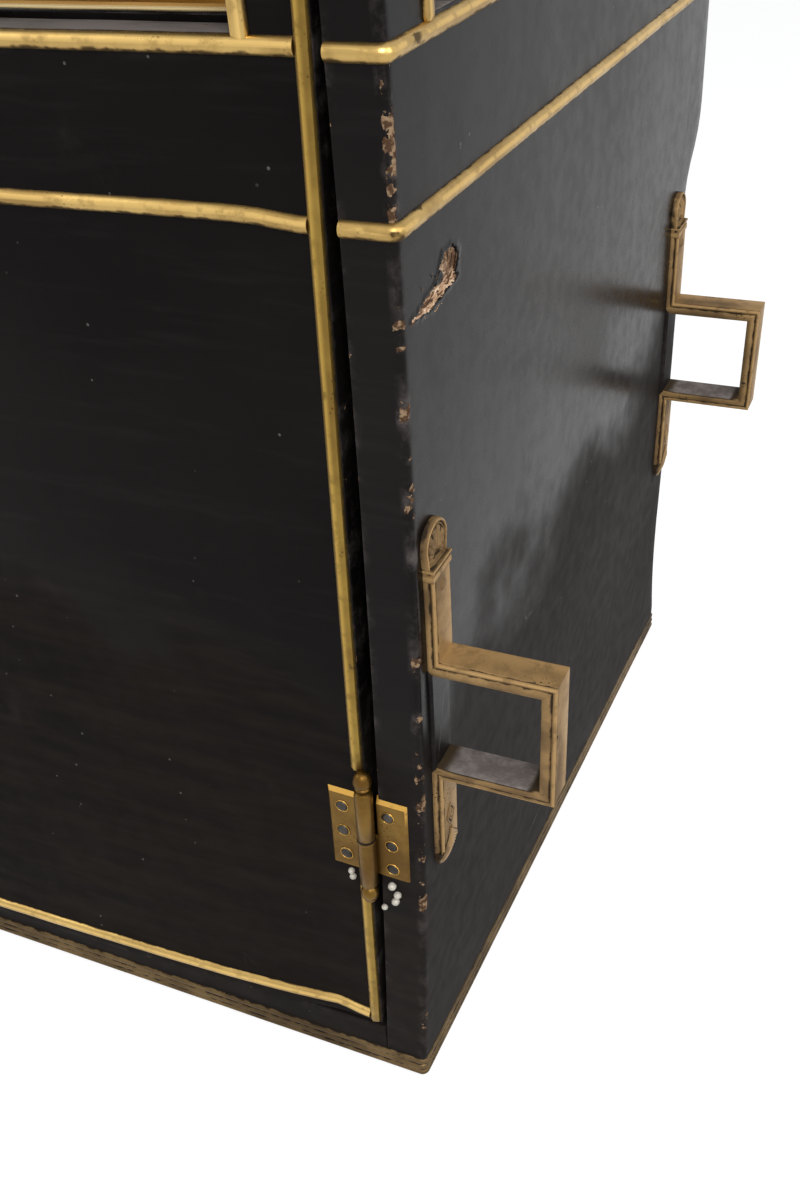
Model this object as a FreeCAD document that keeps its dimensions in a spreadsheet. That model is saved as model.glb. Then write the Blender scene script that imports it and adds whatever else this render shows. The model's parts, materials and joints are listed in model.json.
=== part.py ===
import FreeCAD, Part
import Sketcher
import math
import os

# A sedan chair: a leather-covered timber cabin for one passenger, with a hinged front door, a roof that
# lifts on hinges at the back, and four brass brackets that the two carrying poles slide through.
# Frame: the origin is on the ground under the middle of the roof, +X is the door's hinge side, the door
# faces -Y, and +Z is up. Every size is in millimetres and every angle in degrees.

SIZES = (
    # alias, value, meaning
    ("body_width", 640, "cabin width at the ground"),
    ("body_depth", 755, "cabin depth, front face to back face"),
    ("wall_top", 1490, "top of the cabin walls"),
    ("side_flare", 34.5, "how far each side leans out on its way up"),
    ("flare_above_sill", 92, "how far above the window sill the side turns vertical"),
    ("side_thickness", 36, "thickness of the sides and width of the front posts"),
    ("back_thickness", 30, "thickness of the back wall"),
    ("door_thickness", 62, "thickness of the door, and depth of the front posts"),
    ("back_foot_top", 31, "top of the upright foot of the back wall"),
    ("back_inset_low", 35, "how far the back is set in above its foot"),
    ("back_cove_top", 218, "top of the cove above the foot"),
    ("back_inset_high", 43, "how far the back is set in below the ogee"),
    ("ogee_bottom", 590, "start of the ogee of the back"),
    ("ogee_top", 686, "end of the ogee of the back"),
    ("floor_bottom", 30, "underside of the floor board"),
    ("floor_thickness", 22, "thickness of the floor board"),
    ("sill_rail_top", 52, "top of the rail under the door"),
    ("head_rail_height", 52, "height of the rail over the door"),
    ("door_gap", 6, "gap round the door at the posts and rails"),
    ("door_foot_inset", 1.4, "how far the door's foot stands inside the posts' inner line"),
    ("free_edge_relief", 1, "extra gap along the door's free edge"),
    ("door_bend_rise", 19, "how far above the window sill the door's edges turn vertical"),
    ("door_face", 27, "thickness of the door's front layer"),
    ("door_step", 12, "how far the door's inner layer stands back from its edges"),
    ("sash_slot", 11, "width of the slot that the door's window drops into"),
    ("inner_sill_lift", 3, "how much higher the inner board is than the outer ledge"),
    ("window_sill", 908, "bottom of the window openings"),
    ("window_top_drop", 114, "distance of the windows' heads below the top of the walls"),
    ("door_stile", 52.5, "width of the door beside its window"),
    ("side_window_length", 450, "length of each side window"),
    ("trim_width", 12, "width of the brass strips round the windows"),
    ("trim_proud", 4, "how far those strips stand proud"),
    ("sill_moulding_drop", 6.5, "distance of the upper brass moulding below the window sill"),
    ("waist_moulding_drop", 106, "distance of the lower brass moulding below the window sill"),
    ("foot_moulding_z", 70, "centre height of the moulding at the door's foot"),
    ("moulding_radius", 6, "radius of the half-round brass mouldings"),
    ("base_strip_bottom", 2, "underside of the brass strip round the base"),
    ("base_strip_height", 22, "height of that strip"),
    ("base_strip_proud", 4, "how far it stands proud"),
    ("edge_strip_width", 10, "width of the brass strips along the door's edges"),
    ("edge_strip_proud", 3.5, "how far they stand proud"),
    ("brass_gap", 1, "gap between neighbouring brass pieces on the door"),
    ("pin_proud", 8, "distance of the door hinges' pin from the front face"),
    ("pin_outside", 0.7, "distance of that pin from the door's edge"),
    ("pin_radius", 3, "radius of the door hinges' pin"),
    ("pin_play", 0.1, "running clearance round every hinge pin"),
    ("knuckle_radius", 7.5, "radius of the door hinges' knuckles"),
    ("knuckle_length", 52, "length of each knuckle"),
    ("leaf_height", 88, "height of the door hinges' leaves"),
    ("leaf_reach", 36, "distance of a leaf's far edge from the pin"),
    ("leaf_thickness", 3.5, "thickness of a leaf"),
    ("leaf_clearance", 1.5, "gap between a leaf and the other leaf's knuckle"),
    ("hinge_ball", 7, "radius of the ball ends of a door hinge"),
    ("low_hinge_z", 300, "height of the lower door hinge"),
    ("high_hinge_rise", 122, "height of the upper door hinge above the window sill"),
    ("pole_gap_x", 89, "clear width of a pole bracket"),
    ("pole_gap_z", 92, "clear height of a pole bracket"),
    ("bracket_bar", 12, "thickness of a bracket's arms"),
    ("bracket_width", 30, "width of a bracket along the pole"),
    ("bracket_leg", 9.5, "distance of a leg's outer face from the wall"),
    ("pad_thickness", 2.5, "thickness of the leather pad behind a bracket"),
    ("strap_thickness", 5.5, "thickness of that pad between the arms"),
    ("pad_drop", 3, "length of the pad below the leg's end"),
    ("bracket_drop", 120, "length of the leg below the pole"),
    ("bracket_rise", 202.5, "height of the shell's centre above the pole's underside"),
    ("shell_radius", 18.5, "radius of the shell at a bracket's top"),
    ("shell_proud", 7, "distance of the shell's face from the wall"),
    ("pole_lean", 1.9, "upward slope of the poles towards the back"),
    ("front_pole_inset", 33, "distance of the front brackets' middle from the front face"),
    ("rear_pole_inset", 72.5, "distance of the rear brackets' middle from the back face"),
    ("front_pole_z", 371, "underside of the pole in the front brackets"),
    ("sash_width", 24, "width of a window sash's members"),
    ("sash_thickness", 14, "thickness of a side window's sash"),
    ("sash_setback", 14, "distance of a side sash from the outer face"),
    ("glass_thickness", 3, "thickness of the panes"),
    ("fit_gap", 0.3, "gap between pieces that lie on each other without fixing"),
    ("lining_thickness", 3, "thickness of the cloth linings"),
    ("seat_top", 400, "top of the seat board"),
    ("seat_depth", 390, "depth of the seat board"),
    ("board_thickness", 18, "thickness of the seat board and its riser"),
    ("cushion_thickness", 85, "thickness of the seat cushion"),
    ("squab_thickness", 60, "thickness of the back cushion"),
    ("squab_height", 280, "height of the back cushion"),
    ("cushion_gap", 8, "space round the loose cushions"),
    ("roof_gap", 5.5, "gap between the walls and the roof"),
    ("rim_height", 46, "height of the roof's rim"),
    ("rim_width", 52, "width of the roof's rim timbers"),
    ("eaves", 40, "how far the roof overhangs the front and the sides"),
    ("roof_rise", 118, "rise of the domed roof above its rim"),
    ("roof_shell", 12, "thickness of the domed roof"),
    ("eaves_moulding", 7, "radius of the brass moulding round the roof"),
    ("cornice_drop", 40, "distance of the brass moulding under the roof below the walls' top"),
    ("finial_height", 62, "height of the roof's corner finials"),
    ("finial_radius", 15, "largest radius of those finials"),
    ("roof_pin_radius", 3, "radius of the roof hinges' pins"),
    ("roof_knuckle", 6, "radius of the roof hinges' knuckles"),
    ("roof_knuckle_length", 26, "length of one knuckle of a roof hinge"),
    ("roof_pin_end", 2, "how far a roof hinge's pin reaches past three knuckle lengths"),
    ("roof_hinge_spread", 220, "distance of each roof hinge from the middle"),
    ("roof_leaf_drop", 28, "how far a roof hinge's leaf reaches down the back wall"),
    ("handle_rise", 102, "height of the door's handle above the window sill"),
    ("handle_radius", 26, "radius of the handle's ring"),
    ("handle_wire", 3, "radius of that ring's wire and of its stud"),
    ("handle_stud", 20, "length of the stud that the ring hangs from"),
    ("ring_stand_off", 15, "distance of the ring from the door's front face"),
    ("rose_radius", 13, "radius of the rose behind the handle"),
    ("rose_thickness", 4, "thickness of that rose"),
)

X_AXIS = FreeCAD.Vector(1, 0, 0)
Y_AXIS = FreeCAD.Vector(0, 1, 0)
Z_AXIS = FreeCAD.Vector(0, 0, 1)
ACROSS_PLANE = FreeCAD.Rotation(X_AXIS, 90)
ALONG_PLANE = FreeCAD.Rotation(FreeCAD.Vector(1, 1, 1), 120)
LYING = {"x": FreeCAD.Rotation(Y_AXIS, 90), "y": FreeCAD.Rotation(X_AXIS, -90), "z": FreeCAD.Rotation()}
ROOM = 400  # how far the large cutting tools reach past the cabin
PAST = 1  # how far the others reach past the face that they cut through

doc = FreeCAD.newDocument("sedan_chair")
sheet = doc.addObject("Spreadsheet::Sheet", "Sizes")
for row, (alias, value, meaning) in enumerate(SIZES, start=1):
    sheet.set(f"A{row}", alias)
    sheet.set(f"B{row}", str(value))
    sheet.setAlias(f"B{row}", alias)
    sheet.set(f"C{row}", meaning)
doc.recompute()


class Size:
    """A length or angle as a number, together with the spreadsheet expression that gives it."""

    def __init__(self, value, text):
        self.value = value
        self.text = text

    def joined(self, other, sign, result):
        return Size(result, f"({self.text} {sign} {as_size(other).text})")

    def __add__(self, other):
        return self.joined(other, "+", self.value + as_size(other).value)

    def __sub__(self, other):
        return self.joined(other, "-", self.value - as_size(other).value)

    def __mul__(self, other):
        return self.joined(other, "*", self.value * as_size(other).value)

    def __truediv__(self, other):
        return self.joined(other, "/", self.value / as_size(other).value)

    def __neg__(self):
        return self * -1


def as_size(number):
    return number if isinstance(number, Size) else Size(number, f"({number})")


def size(alias):
    return Size(float(getattr(sheet, alias)), f"Sizes.{alias}")


def tangent(angle):
    return Size(math.tan(math.radians(angle.value)), f"tan({angle.text})")


def slope_angle(rise):
    return Size(math.degrees(math.atan(rise.value)), f"atan({rise.text})")


def bind(thing, **properties):
    """Sets each property to a size and ties it to the size's expression."""
    for name, value in properties.items():
        wanted = as_size(value)
        setattr(thing, name, wanted.value)
        thing.setExpression(name, wanted.text)


def place(thing, x=0, y=0, z=0, turn=None, angle=None, about=None):
    """Puts a thing at a point, turned by a fixed rotation or by a size's angle about an axis."""
    rotation = turn or FreeCAD.Rotation()
    if angle is not None:
        rotation = FreeCAD.Rotation(about, as_size(angle).value)
    spot = [as_size(part) for part in (x, y, z)]
    thing.Placement = FreeCAD.Placement(FreeCAD.Vector(*(part.value for part in spot)), rotation)
    for letter, part in zip("xyz", spot):
        thing.setExpression(f"Placement.Base.{letter}", part.text)
    if angle is not None:
        thing.setExpression("Placement.Rotation.Angle", as_size(angle).text)
    return thing


def block(label, x, y, z):
    """A box between two ends along each axis."""
    box = doc.addObject("Part::Box", label)
    bind(box, Length=as_size(x[1]) - x[0], Width=as_size(y[1]) - y[0], Height=as_size(z[1]) - z[0])
    return place(box, x[0], y[0], z[0])


def rod(label, radius, axis, x, y, z):
    """A cylinder along one axis. The ends are given along that axis, and one number along the others."""
    cylinder = doc.addObject("Part::Cylinder", label)
    ends = {"x": x, "y": y, "z": z}[axis]
    start = {"x": x, "y": y, "z": z, axis: ends[0]}
    bind(cylinder, Radius=radius, Height=as_size(ends[1]) - ends[0])
    return place(cylinder, start["x"], start["y"], start["z"], turn=LYING[axis])


def ball(label, radius, x, y, z):
    sphere = doc.addObject("Part::Sphere", label)
    bind(sphere, Radius=radius)
    return place(sphere, x, y, z)


def cut(label, base, *tools):
    for number, tool in enumerate(tools, start=1):
        last = number == len(tools)
        trimmed = doc.addObject("Part::Cut", label if last else f"{label}_cut_{number}")
        trimmed.Base = base
        trimmed.Tool = tool
        base = trimmed
    return base


def common(label, first, second):
    shared = doc.addObject("Part::Common", label)
    shared.Base = first
    shared.Tool = second
    return shared


def fuse(label, *pieces):
    whole = doc.addObject("Part::MultiFuse", label)
    whole.Shapes = list(pieces)
    whole.Refine = True
    return whole


def together(label, *pieces):
    """Like pieces that don't touch, kept as separate solids of one sub-part."""
    group = doc.addObject("Part::Compound", label)
    group.Links = list(pieces)
    return group


def other_side(label, thing):
    """The same sub-part on the other side of the cabin."""
    mirror = doc.addObject("Part::Mirroring", label)
    mirror.Source = thing
    mirror.Base = FreeCAD.Vector(0, 0, 0)
    mirror.Normal = X_AXIS
    return mirror


def arc_between(start, end, level):
    """The short arc from start to end whose centre lies at a level, and whether it runs forwards."""
    rise = (start.y - level) ** 2 - (end.y - level) ** 2
    middle = FreeCAD.Vector((start.x**2 - end.x**2 + rise) / (2 * (start.x - end.x)), level, 0)
    angles = [math.atan2(point.y - middle.y, point.x - middle.x) for point in (start, end)]
    forwards = (angles[1] - angles[0]) % (2 * math.pi) < math.pi
    circle = Part.Circle(middle, Z_AXIS, (start - middle).Length)
    return Part.ArcOfCircle(circle, *(angles if forwards else reversed(angles))), forwards


def draw_outline(sketch, steps):
    """Draws a closed outline. A step is (across, up) for a straight line to that point, or
    (across, up, level) for an arc to it whose centre lies at that level."""
    points = [FreeCAD.Vector(as_size(step[0]).value, as_size(step[1]).value, 0) for step in steps]
    ends = []
    for number, step in enumerate(steps):
        edge = Part.LineSegment(points[number - 1], points[number])
        forwards = True
        if len(step) == 3:
            edge, forwards = arc_between(points[number - 1], points[number], as_size(step[2]).value)
        sketch.addGeometry(edge, False)
        ends.append((1, 2) if forwards else (2, 1))
    for number, step in enumerate(steps):
        before = (number - 1) % len(steps)
        begin, finish = ends[number]
        sketch.addConstraint(Sketcher.Constraint("Coincident", before, ends[before][1], number, begin))
        tie(sketch, "DistanceX", number, finish, step[0])
        tie(sketch, "DistanceY", number, finish, step[1])
        if len(step) == 3:
            tie(sketch, "DistanceY", number, 3, step[2])


def tie(sketch, kind, edge, point, length):
    """Holds one point of a sketch at a size from the sketch's origin."""
    wanted = as_size(length)
    index = sketch.addConstraint(Sketcher.Constraint(kind, -1, 1, edge, point, wanted.value))
    sketch.setExpression(f"Constraints[{index}]", wanted.text)


def profile(label, plane, steps):
    sketch = doc.addObject("Sketcher::SketchObject", label)
    sketch.Placement = FreeCAD.Placement(FreeCAD.Vector(0, 0, 0), plane)
    draw_outline(sketch, steps)
    return sketch


def extruded(label, sketch, ahead, behind=0):
    """A sketch made solid along its normal by one size ahead of its plane and another behind it."""
    solid = doc.addObject("Part::Extrusion", label)
    solid.Base = sketch
    solid.DirMode = "Normal"
    solid.Solid = True
    bind(solid, LengthFwd=ahead, LengthRev=behind)
    return solid


def turned(label, steps, x, y, z):
    """A round piece: a body whose half outline, drawn against its upright axis, is revolved."""
    body = doc.addObject("PartDesign::Body", label)
    sketch = body.newObject("Sketcher::SketchObject", f"{label}_outline")
    planes = [plane for plane in body.Origin.OriginFeatures if plane.Role == "XZ_Plane"]
    sketch.AttachmentSupport = (planes[0], "")
    sketch.MapMode = "FlatFace"
    draw_outline(sketch, steps)
    doc.recompute()
    revolution = body.newObject("PartDesign::Revolution", f"{label}_turned")
    revolution.Profile = sketch
    revolution.ReferenceAxis = (sketch, ["V_Axis"])
    revolution.Angle = 360
    return place(body, x, y, z)


# Driving places, worked out from the sizes.
half_width = size("body_width") / 2
sill_half = half_width + size("side_flare")
front_y = -size("body_depth") / 2
back_y = size("body_depth") / 2
post_back_y = front_y + size("door_thickness")
wall_top = size("wall_top")
side = size("side_thickness")
window_sill = size("window_sill")
window_head = wall_top - size("window_top_drop")
flare_rise = window_sill + size("flare_above_sill")
sill_moulding_z = window_sill - size("sill_moulding_drop")
waist_moulding_z = window_sill - size("waist_moulding_drop")
door_bottom = size("sill_rail_top") + size("door_gap")
head_rail_bottom = wall_top - size("head_rail_height")
door_top = head_rail_bottom - size("door_gap")
door_foot_half = half_width - side - size("door_foot_inset")
door_head_half = sill_half - side - size("door_gap")
door_bend = window_sill + size("door_bend_rise")
edge_slope = (door_head_half - door_foot_half) / (door_bend - door_bottom)
hinge_lean = slope_angle(edge_slope)
pin_y = front_y - size("pin_proud")
low_hinge_z = size("low_hinge_z")
high_hinge_z = window_sill + size("high_hinge_rise")
half_window = door_head_half - size("door_stile")
face_back = front_y + size("door_face")
slot_back = face_back + size("sash_slot")


def door_edge_x(height):
    """Where the door's hinge edge is at a height below its bend."""
    return door_foot_half + (as_size(height) - door_bottom) * edge_slope


def cabin_section(label, inset):
    """A long solid with the cabin's cross-section, its sides moved in by an inset, from well before the
    front to well behind the back."""
    foot = half_width - inset
    sill = sill_half - inset
    across = profile(
        f"{label}_outline",
        ACROSS_PLANE,
        [
            (foot, 0),
            (sill, flare_rise, flare_rise),
            (sill, wall_top),
            (-sill, wall_top),
            (-sill, flare_rise),
            (-foot, 0, flare_rise),
        ],
    )
    return extruded(label, across, back_y + ROOM, back_y + ROOM)


def cabin_side_view(label, inset, front):
    """A wide solid with the cabin's side view, its back moved in by an inset."""
    back = back_y - inset
    low = back - size("back_inset_low")
    high = back - size("back_inset_high")
    ogee_middle = (size("ogee_bottom") + size("ogee_top")) / 2
    along = profile(
        f"{label}_outline",
        ALONG_PLANE,
        [
            (front, 0),
            (back, 0),
            (back, size("back_foot_top")),
            (low, size("back_cove_top"), size("back_cove_top")),
            (high, size("ogee_bottom")),
            (back - size("back_inset_high") / 2, ogee_middle, size("ogee_bottom")),
            (back, size("ogee_top"), size("ogee_top")),
            (back, wall_top),
            (front, wall_top),
        ],
    )
    return extruded(label, along, sill_half + ROOM, sill_half + ROOM)


# The cabin's envelope, which every wall is cut from.
outer_section = cabin_section("outer_section", 0)
inner_section = cabin_section("inner_section", side)
outer_view = cabin_side_view("outer_view", 0, front_y)
inner_view = cabin_side_view("inner_view", size("back_thickness"), front_y - PAST)
cabin_solid = common("cabin_solid", outer_section, outer_view)
cabin_sides = cut("cabin_sides", cabin_solid, inner_section)

parts = {}


def keep(label, thing):
    thing.Label = label
    parts[label] = thing
    return thing


def build_cabin():
    """Posts, rails, walls and floor."""
    right_side = (0, sill_half + PAST)
    corner = block("post_corner", right_side, (front_y, post_back_y), (0, wall_top))
    post = keep("front_post_right", common("front_post_right", cabin_sides, corner))
    keep("front_post_left", other_side("front_post_left", post))

    behind_post = block("behind_post", right_side, (post_back_y, back_y), (0, wall_top))
    wall = common("side_wall", cabin_sides, behind_post)
    along = (post_back_y, post_back_y + size("side_window_length"))
    opening = block("side_window_opening", right_side, along, (window_sill, window_head))
    right_wall = keep("side_wall_right", cut("side_wall_right", wall, opening))
    keep("side_wall_left", other_side("side_wall_left", right_wall))

    back_shell = cut("back_shell", outer_view, inner_view)
    keep("back_wall", common("back_wall", back_shell, inner_section))

    between_posts = (-sill_half, sill_half)
    sill_space = block("sill_space", between_posts, (front_y, post_back_y), (0, size("sill_rail_top")))
    keep("front_sill_rail", common("front_sill_rail", inner_section, sill_space))
    head_space = block("head_space", between_posts, (front_y, post_back_y), (head_rail_bottom, wall_top))
    keep("front_head_rail", common("front_head_rail", inner_section, head_space))

    floor_top = size("floor_bottom") + size("floor_thickness")
    floor_heights = (size("floor_bottom"), floor_top)
    floor_space = block("floor_space", between_posts, (post_back_y, back_y), floor_heights)
    floor_inside = common("floor_inside", inner_section, floor_space)
    keep("floor_board", common("floor_board", floor_inside, inner_view))


def wrapped_moulding(label, level, reach, across_door):
    """A half-round brass moulding round the cabin, cut to lie on its walls, with rounded corners. It
    passes over the door's place only where that is asked for, and its sides stand at a reach."""
    radius = size("moulding_radius")
    post_inside = reach - side
    pieces = [rod(f"{label}_back", radius, "x", (-reach, reach), back_y, level)]
    if across_door:
        pieces.append(rod(f"{label}_front", radius, "x", (-reach, reach), front_y, level))
    for name, sign in (("right", 1), ("left", -1)):
        ends = sorted((post_inside * sign, reach * sign), key=lambda end: end.value)
        pieces.append(rod(f"{label}_post_{name}", radius, "x", tuple(ends), front_y, level))
        pieces.append(rod(f"{label}_side_{name}", radius, "y", reach * sign, (front_y, back_y), level))
        pieces.append(ball(f"{label}_front_corner_{name}", radius, reach * sign, front_y, level))
        pieces.append(ball(f"{label}_back_corner_{name}", radius, reach * sign, back_y, level))
    keep(label, cut(label, fuse(f"{label}_ring", *pieces), cabin_solid))


def build_mouldings():
    """The brass that runs round the cabin."""
    for label, level in (("waist_moulding", waist_moulding_z), ("sill_moulding", sill_moulding_z)):
        still_to_rise = (flare_rise - level) / flare_rise
        reach = sill_half - size("side_flare") * still_to_rise * still_to_rise
        wrapped_moulding(label, level, reach, False)
    wrapped_moulding("cornice_moulding", wall_top - size("cornice_drop"), sill_half, True)

    proud = size("base_strip_proud")
    foot = size("base_strip_bottom")
    strip = block(
        "base_strip",
        (-half_width - proud, half_width + proud),
        (front_y - proud, back_y + proud),
        (foot, foot + size("base_strip_height")),
    )
    keep("base_moulding", cut("base_moulding", strip, cabin_solid))


def inside(ends, inset):
    """A stretch with an inset taken off both its ends. A negative inset lengthens it."""
    return (ends[0] + inset, ends[1] - inset)


def window_trim(label, thin, **spans):
    """Three flat strips round a window, open along the thin axis: two uprights that stand on the sill
    moulding, and a head. The spans are the opening's, with the strips' thickness along the thin axis."""
    width = size("trim_width")
    low, high = spans["z"]
    outside = {axis: inside(ends, -width) for axis, ends in spans.items()}
    hole = dict(spans)
    outside.update({thin: spans[thin], "z": (low, high + width)})
    hole.update({thin: inside(spans[thin], -PAST), "z": (low - PAST, high)})
    return cut(label, block(f"{label}_outside", **outside), block(f"{label}_hole", **hole))


def sash_and_pane(label, thin, **spans):
    """A window's timber frame, which fills a box and is open along its thin axis, and its pane."""
    member = size("sash_width")
    play = size("fit_gap")
    half_pane = size("glass_thickness") / 2
    middle = (spans[thin][0] + spans[thin][1]) / 2
    light = {axis: inside(ends, member) for axis, ends in spans.items()}
    pane = {axis: inside(ends, member + play) for axis, ends in spans.items()}
    light[thin] = inside(spans[thin], -PAST)
    pane[thin] = (middle - half_pane, middle + half_pane)
    frame = cut(f"{label}_sash", block(f"{label}_frame", **spans), block(f"{label}_light", **light))
    return frame, block(f"{label}_pane", **pane)


def build_windows():
    """Trims, sashes and panes of the side windows, which stay shut."""
    along = (post_back_y, post_back_y + size("side_window_length"))
    face = (sill_half, sill_half + size("trim_proud"))
    trim = window_trim(
        "side_window_trim", "x", x=face, y=along, z=(sill_moulding_z + size("moulding_radius"), window_head)
    )
    play = size("fit_gap")
    outer = sill_half - size("sash_setback")
    sash, pane = sash_and_pane(
        "side_window",
        "x",
        x=(outer - size("sash_thickness"), outer),
        y=inside(along, play),
        z=inside((window_sill, window_head), play),
    )
    for label, thing in (("side_window_trim", trim), ("side_sash", sash), ("side_glass", pane)):
        keep(f"{label}_right", thing)
        keep(f"{label}_left", other_side(f"{label}_left", thing))


def door_outline(label, step, bottom, top):
    """The door's front view, its edges moved in by a step. The free edge has a little more gap."""
    foot = door_foot_half - step
    head = door_head_half - step
    relief = size("free_edge_relief")
    return profile(
        label,
        ACROSS_PLANE,
        [
            (foot, bottom),
            (head, door_bend),
            (head, top),
            (-head + relief, top),
            (-head + relief, door_bend),
            (-foot + relief, bottom),
        ],
    )


def build_door():
    """The door: a leather-faced front layer, and an inner layer that holds the slot for the window."""
    step = size("door_step")
    play = size("fit_gap")
    face_sketch = door_outline("door_face_outline", 0, door_bottom, door_top)
    face_layer = extruded("door_face_layer", face_sketch, -front_y, face_back)
    inner_sketch = door_outline("door_inner_outline", step, door_bottom + step, door_top - step)
    inner_layer = extruded("door_inner_layer", inner_sketch, -face_back, post_back_y)
    blank = fuse("door_blank", face_layer, inner_layer)

    # The window's inner board stands higher than its outer ledge, and the slot lies between them.
    across = (-half_window, half_window)
    inner_sill = window_sill + size("inner_sill_lift")
    sash_top = window_sill - size("sash_width")
    slot_floor = sash_top - (window_head - window_sill) - play
    sash_across = inside(across, -step)
    through_face = (front_y - PAST, slot_back)
    through_back = (slot_back - PAST, post_back_y + PAST)
    outer_window = block("door_window_outer", across, through_face, (window_sill, window_head))
    inner_window = block("door_window_inner", across, through_back, (inner_sill, window_head))
    slot = block("door_slot", sash_across, (face_back, slot_back), (slot_floor, window_sill + PAST))
    keep("door_panel", cut("door_panel", blank, outer_window, inner_window, slot))

    sash, pane = sash_and_pane(
        "door_window",
        "y",
        x=inside(sash_across, play),
        y=inside((face_back, slot_back), play),
        z=(slot_floor + play, sash_top),
    )
    keep("door_sash", sash)
    keep("door_glass", pane)

    margin = step * 2
    low = door_bottom + margin
    low_half = door_edge_x(low) - margin
    high_half = door_edge_x(inner_sill) - margin
    lining_sketch = profile(
        "door_lining_outline",
        ACROSS_PLANE,
        [(low_half, low), (high_half, inner_sill), (-high_half, inner_sill), (-low_half, low)],
    )
    lining = extruded("door_lining", lining_sketch, -post_back_y, post_back_y + size("lining_thickness"))
    keep("door_lining", lining)


def build_door_trim():
    """Brass mouldings, edge strips and window trim on the door's front face."""
    radius = size("moulding_radius")
    strip = size("edge_strip_width")
    relief = size("free_edge_relief")
    gap = size("brass_gap")
    full = (-sill_half, sill_half)
    before_door = block("before_door", full, (front_y - radius - PAST, front_y), (0, wall_top))
    for label, level in (
        ("door_sill_moulding", sill_moulding_z),
        ("door_waist_moulding", waist_moulding_z),
        ("door_foot_moulding", size("foot_moulding_z")),
    ):
        end = door_edge_x(level) - strip - gap
        bar = rod(f"{label}_bar", radius, "x", (-end + relief, end), front_y, level)
        keep(label, common(label, bar, before_door))

    proud = size("edge_strip_proud")
    plate_sketch = door_outline("edge_strip_outline", 0, door_bottom + gap, door_top)
    hole_sketch = door_outline("edge_strip_inner_outline", strip, 0, wall_top)
    plate = extruded("edge_strip_plate", plate_sketch, -front_y + proud, front_y)
    hole = extruded("edge_strip_hole", hole_sketch, -front_y + ROOM, front_y + ROOM)
    strips = cut("edge_strip_pair", plate, hole)
    clear = size("knuckle_length") + size("hinge_ball") * 2 + size("door_gap")
    before_face = (front_y - ROOM, front_y + PAST)
    hinge_rooms = [
        block(f"{label}_hinge_room", (0, sill_half), before_face, (level - clear, level + clear))
        for label, level in (("low", low_hinge_z), ("high", high_hinge_z))
    ]
    keep("door_edge_strips", cut("door_edge_strips", strips, *hinge_rooms))

    trim = window_trim(
        "door_window_trim",
        "y",
        x=(-half_window, half_window),
        y=(front_y - size("trim_proud"), front_y),
        z=(sill_moulding_z + radius, window_head),
    )
    keep("door_window_trim", trim)

    # A drop ring on a round rose, near the free edge.
    wire = size("handle_wire")
    handle_x = -door_head_half + relief + strip + gap + size("rose_radius")
    level = window_sill + size("handle_rise")
    rose_front = front_y - size("rose_thickness")
    stud_front = front_y - size("handle_stud")
    ring_y = front_y - size("ring_stand_off")
    rose = rod("handle_rose", size("rose_radius"), "y", handle_x, (rose_front, front_y), level)
    stud = rod("handle_stud", wire, "y", handle_x, (stud_front, front_y), level)
    ring = doc.addObject("Part::Torus", "handle_ring")
    bind(ring, Radius1=size("handle_radius"), Radius2=wire)
    place(ring, handle_x, ring_y, level - size("handle_radius"), turn=ACROSS_PLANE)
    keep("door_handle", fuse("door_handle", rose, stud, ring))


def build_door_hinge(place_name, level):
    """One lift-off hinge. Its pin and lower knuckle belong to the post, its upper knuckle to the door.
    Both leaves are built upright at the pin and then leaned with the door's edge."""
    pin_x = door_edge_x(level) + size("pin_outside")
    plane = size("pin_proud")
    front = plane - size("leaf_thickness")
    reach = size("leaf_reach")
    half_leaf = size("leaf_height") / 2
    knuckle = size("knuckle_radius")
    length = size("knuckle_length")
    stand_off = knuckle + size("leaf_clearance")
    play = size("pin_play")
    pin_radius = size("pin_radius")

    name = f"{place_name}_door"
    leaf = block(f"{name}_leaf", (-reach, -stand_off), (front, plane), (-half_leaf, half_leaf))
    neck = block(f"{name}_neck", (-stand_off, -pin_radius), (front, plane), (size("fit_gap"), half_leaf))
    sleeve = rod(f"{name}_sleeve", knuckle, "z", 0, 0, (size("fit_gap"), length))
    bore = rod(f"{name}_bore", pin_radius + play, "z", 0, 0, (-length, length * 2))
    door_leaf = cut(f"{name}_bored", fuse(f"{name}_solid", leaf, neck, sleeve), bore)

    name = f"{place_name}_post"
    leaf = block(f"{name}_leaf", (stand_off, reach), (front, plane), (-half_leaf, half_leaf))
    neck = block(f"{name}_neck", (pin_radius, stand_off), (front, plane), (-half_leaf, 0))
    sleeve = rod(f"{name}_sleeve", knuckle, "z", 0, 0, (-length, 0))
    tip = size("hinge_ball")
    pin_top = length + tip + size("fit_gap")
    pin = rod(f"{name}_pin", pin_radius, "z", 0, 0, (-length, pin_top))
    top_ball = ball(f"{name}_top_ball", tip, 0, 0, pin_top)
    low_ball = ball(f"{name}_low_ball", tip, 0, 0, -length - tip / 2)
    post_leaf = fuse(f"{name}_solid", leaf, neck, sleeve, pin, top_ball, low_ball)

    for label, solid in (
        (f"door_hinge_leaf_{place_name}", door_leaf),
        (f"post_hinge_leaf_{place_name}", post_leaf),
    ):
        leaned = together(label, solid)
        place(leaned, pin_x, pin_y, level, angle=hinge_lean, about=Y_AXIS)
        keep(label, leaned)


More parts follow.
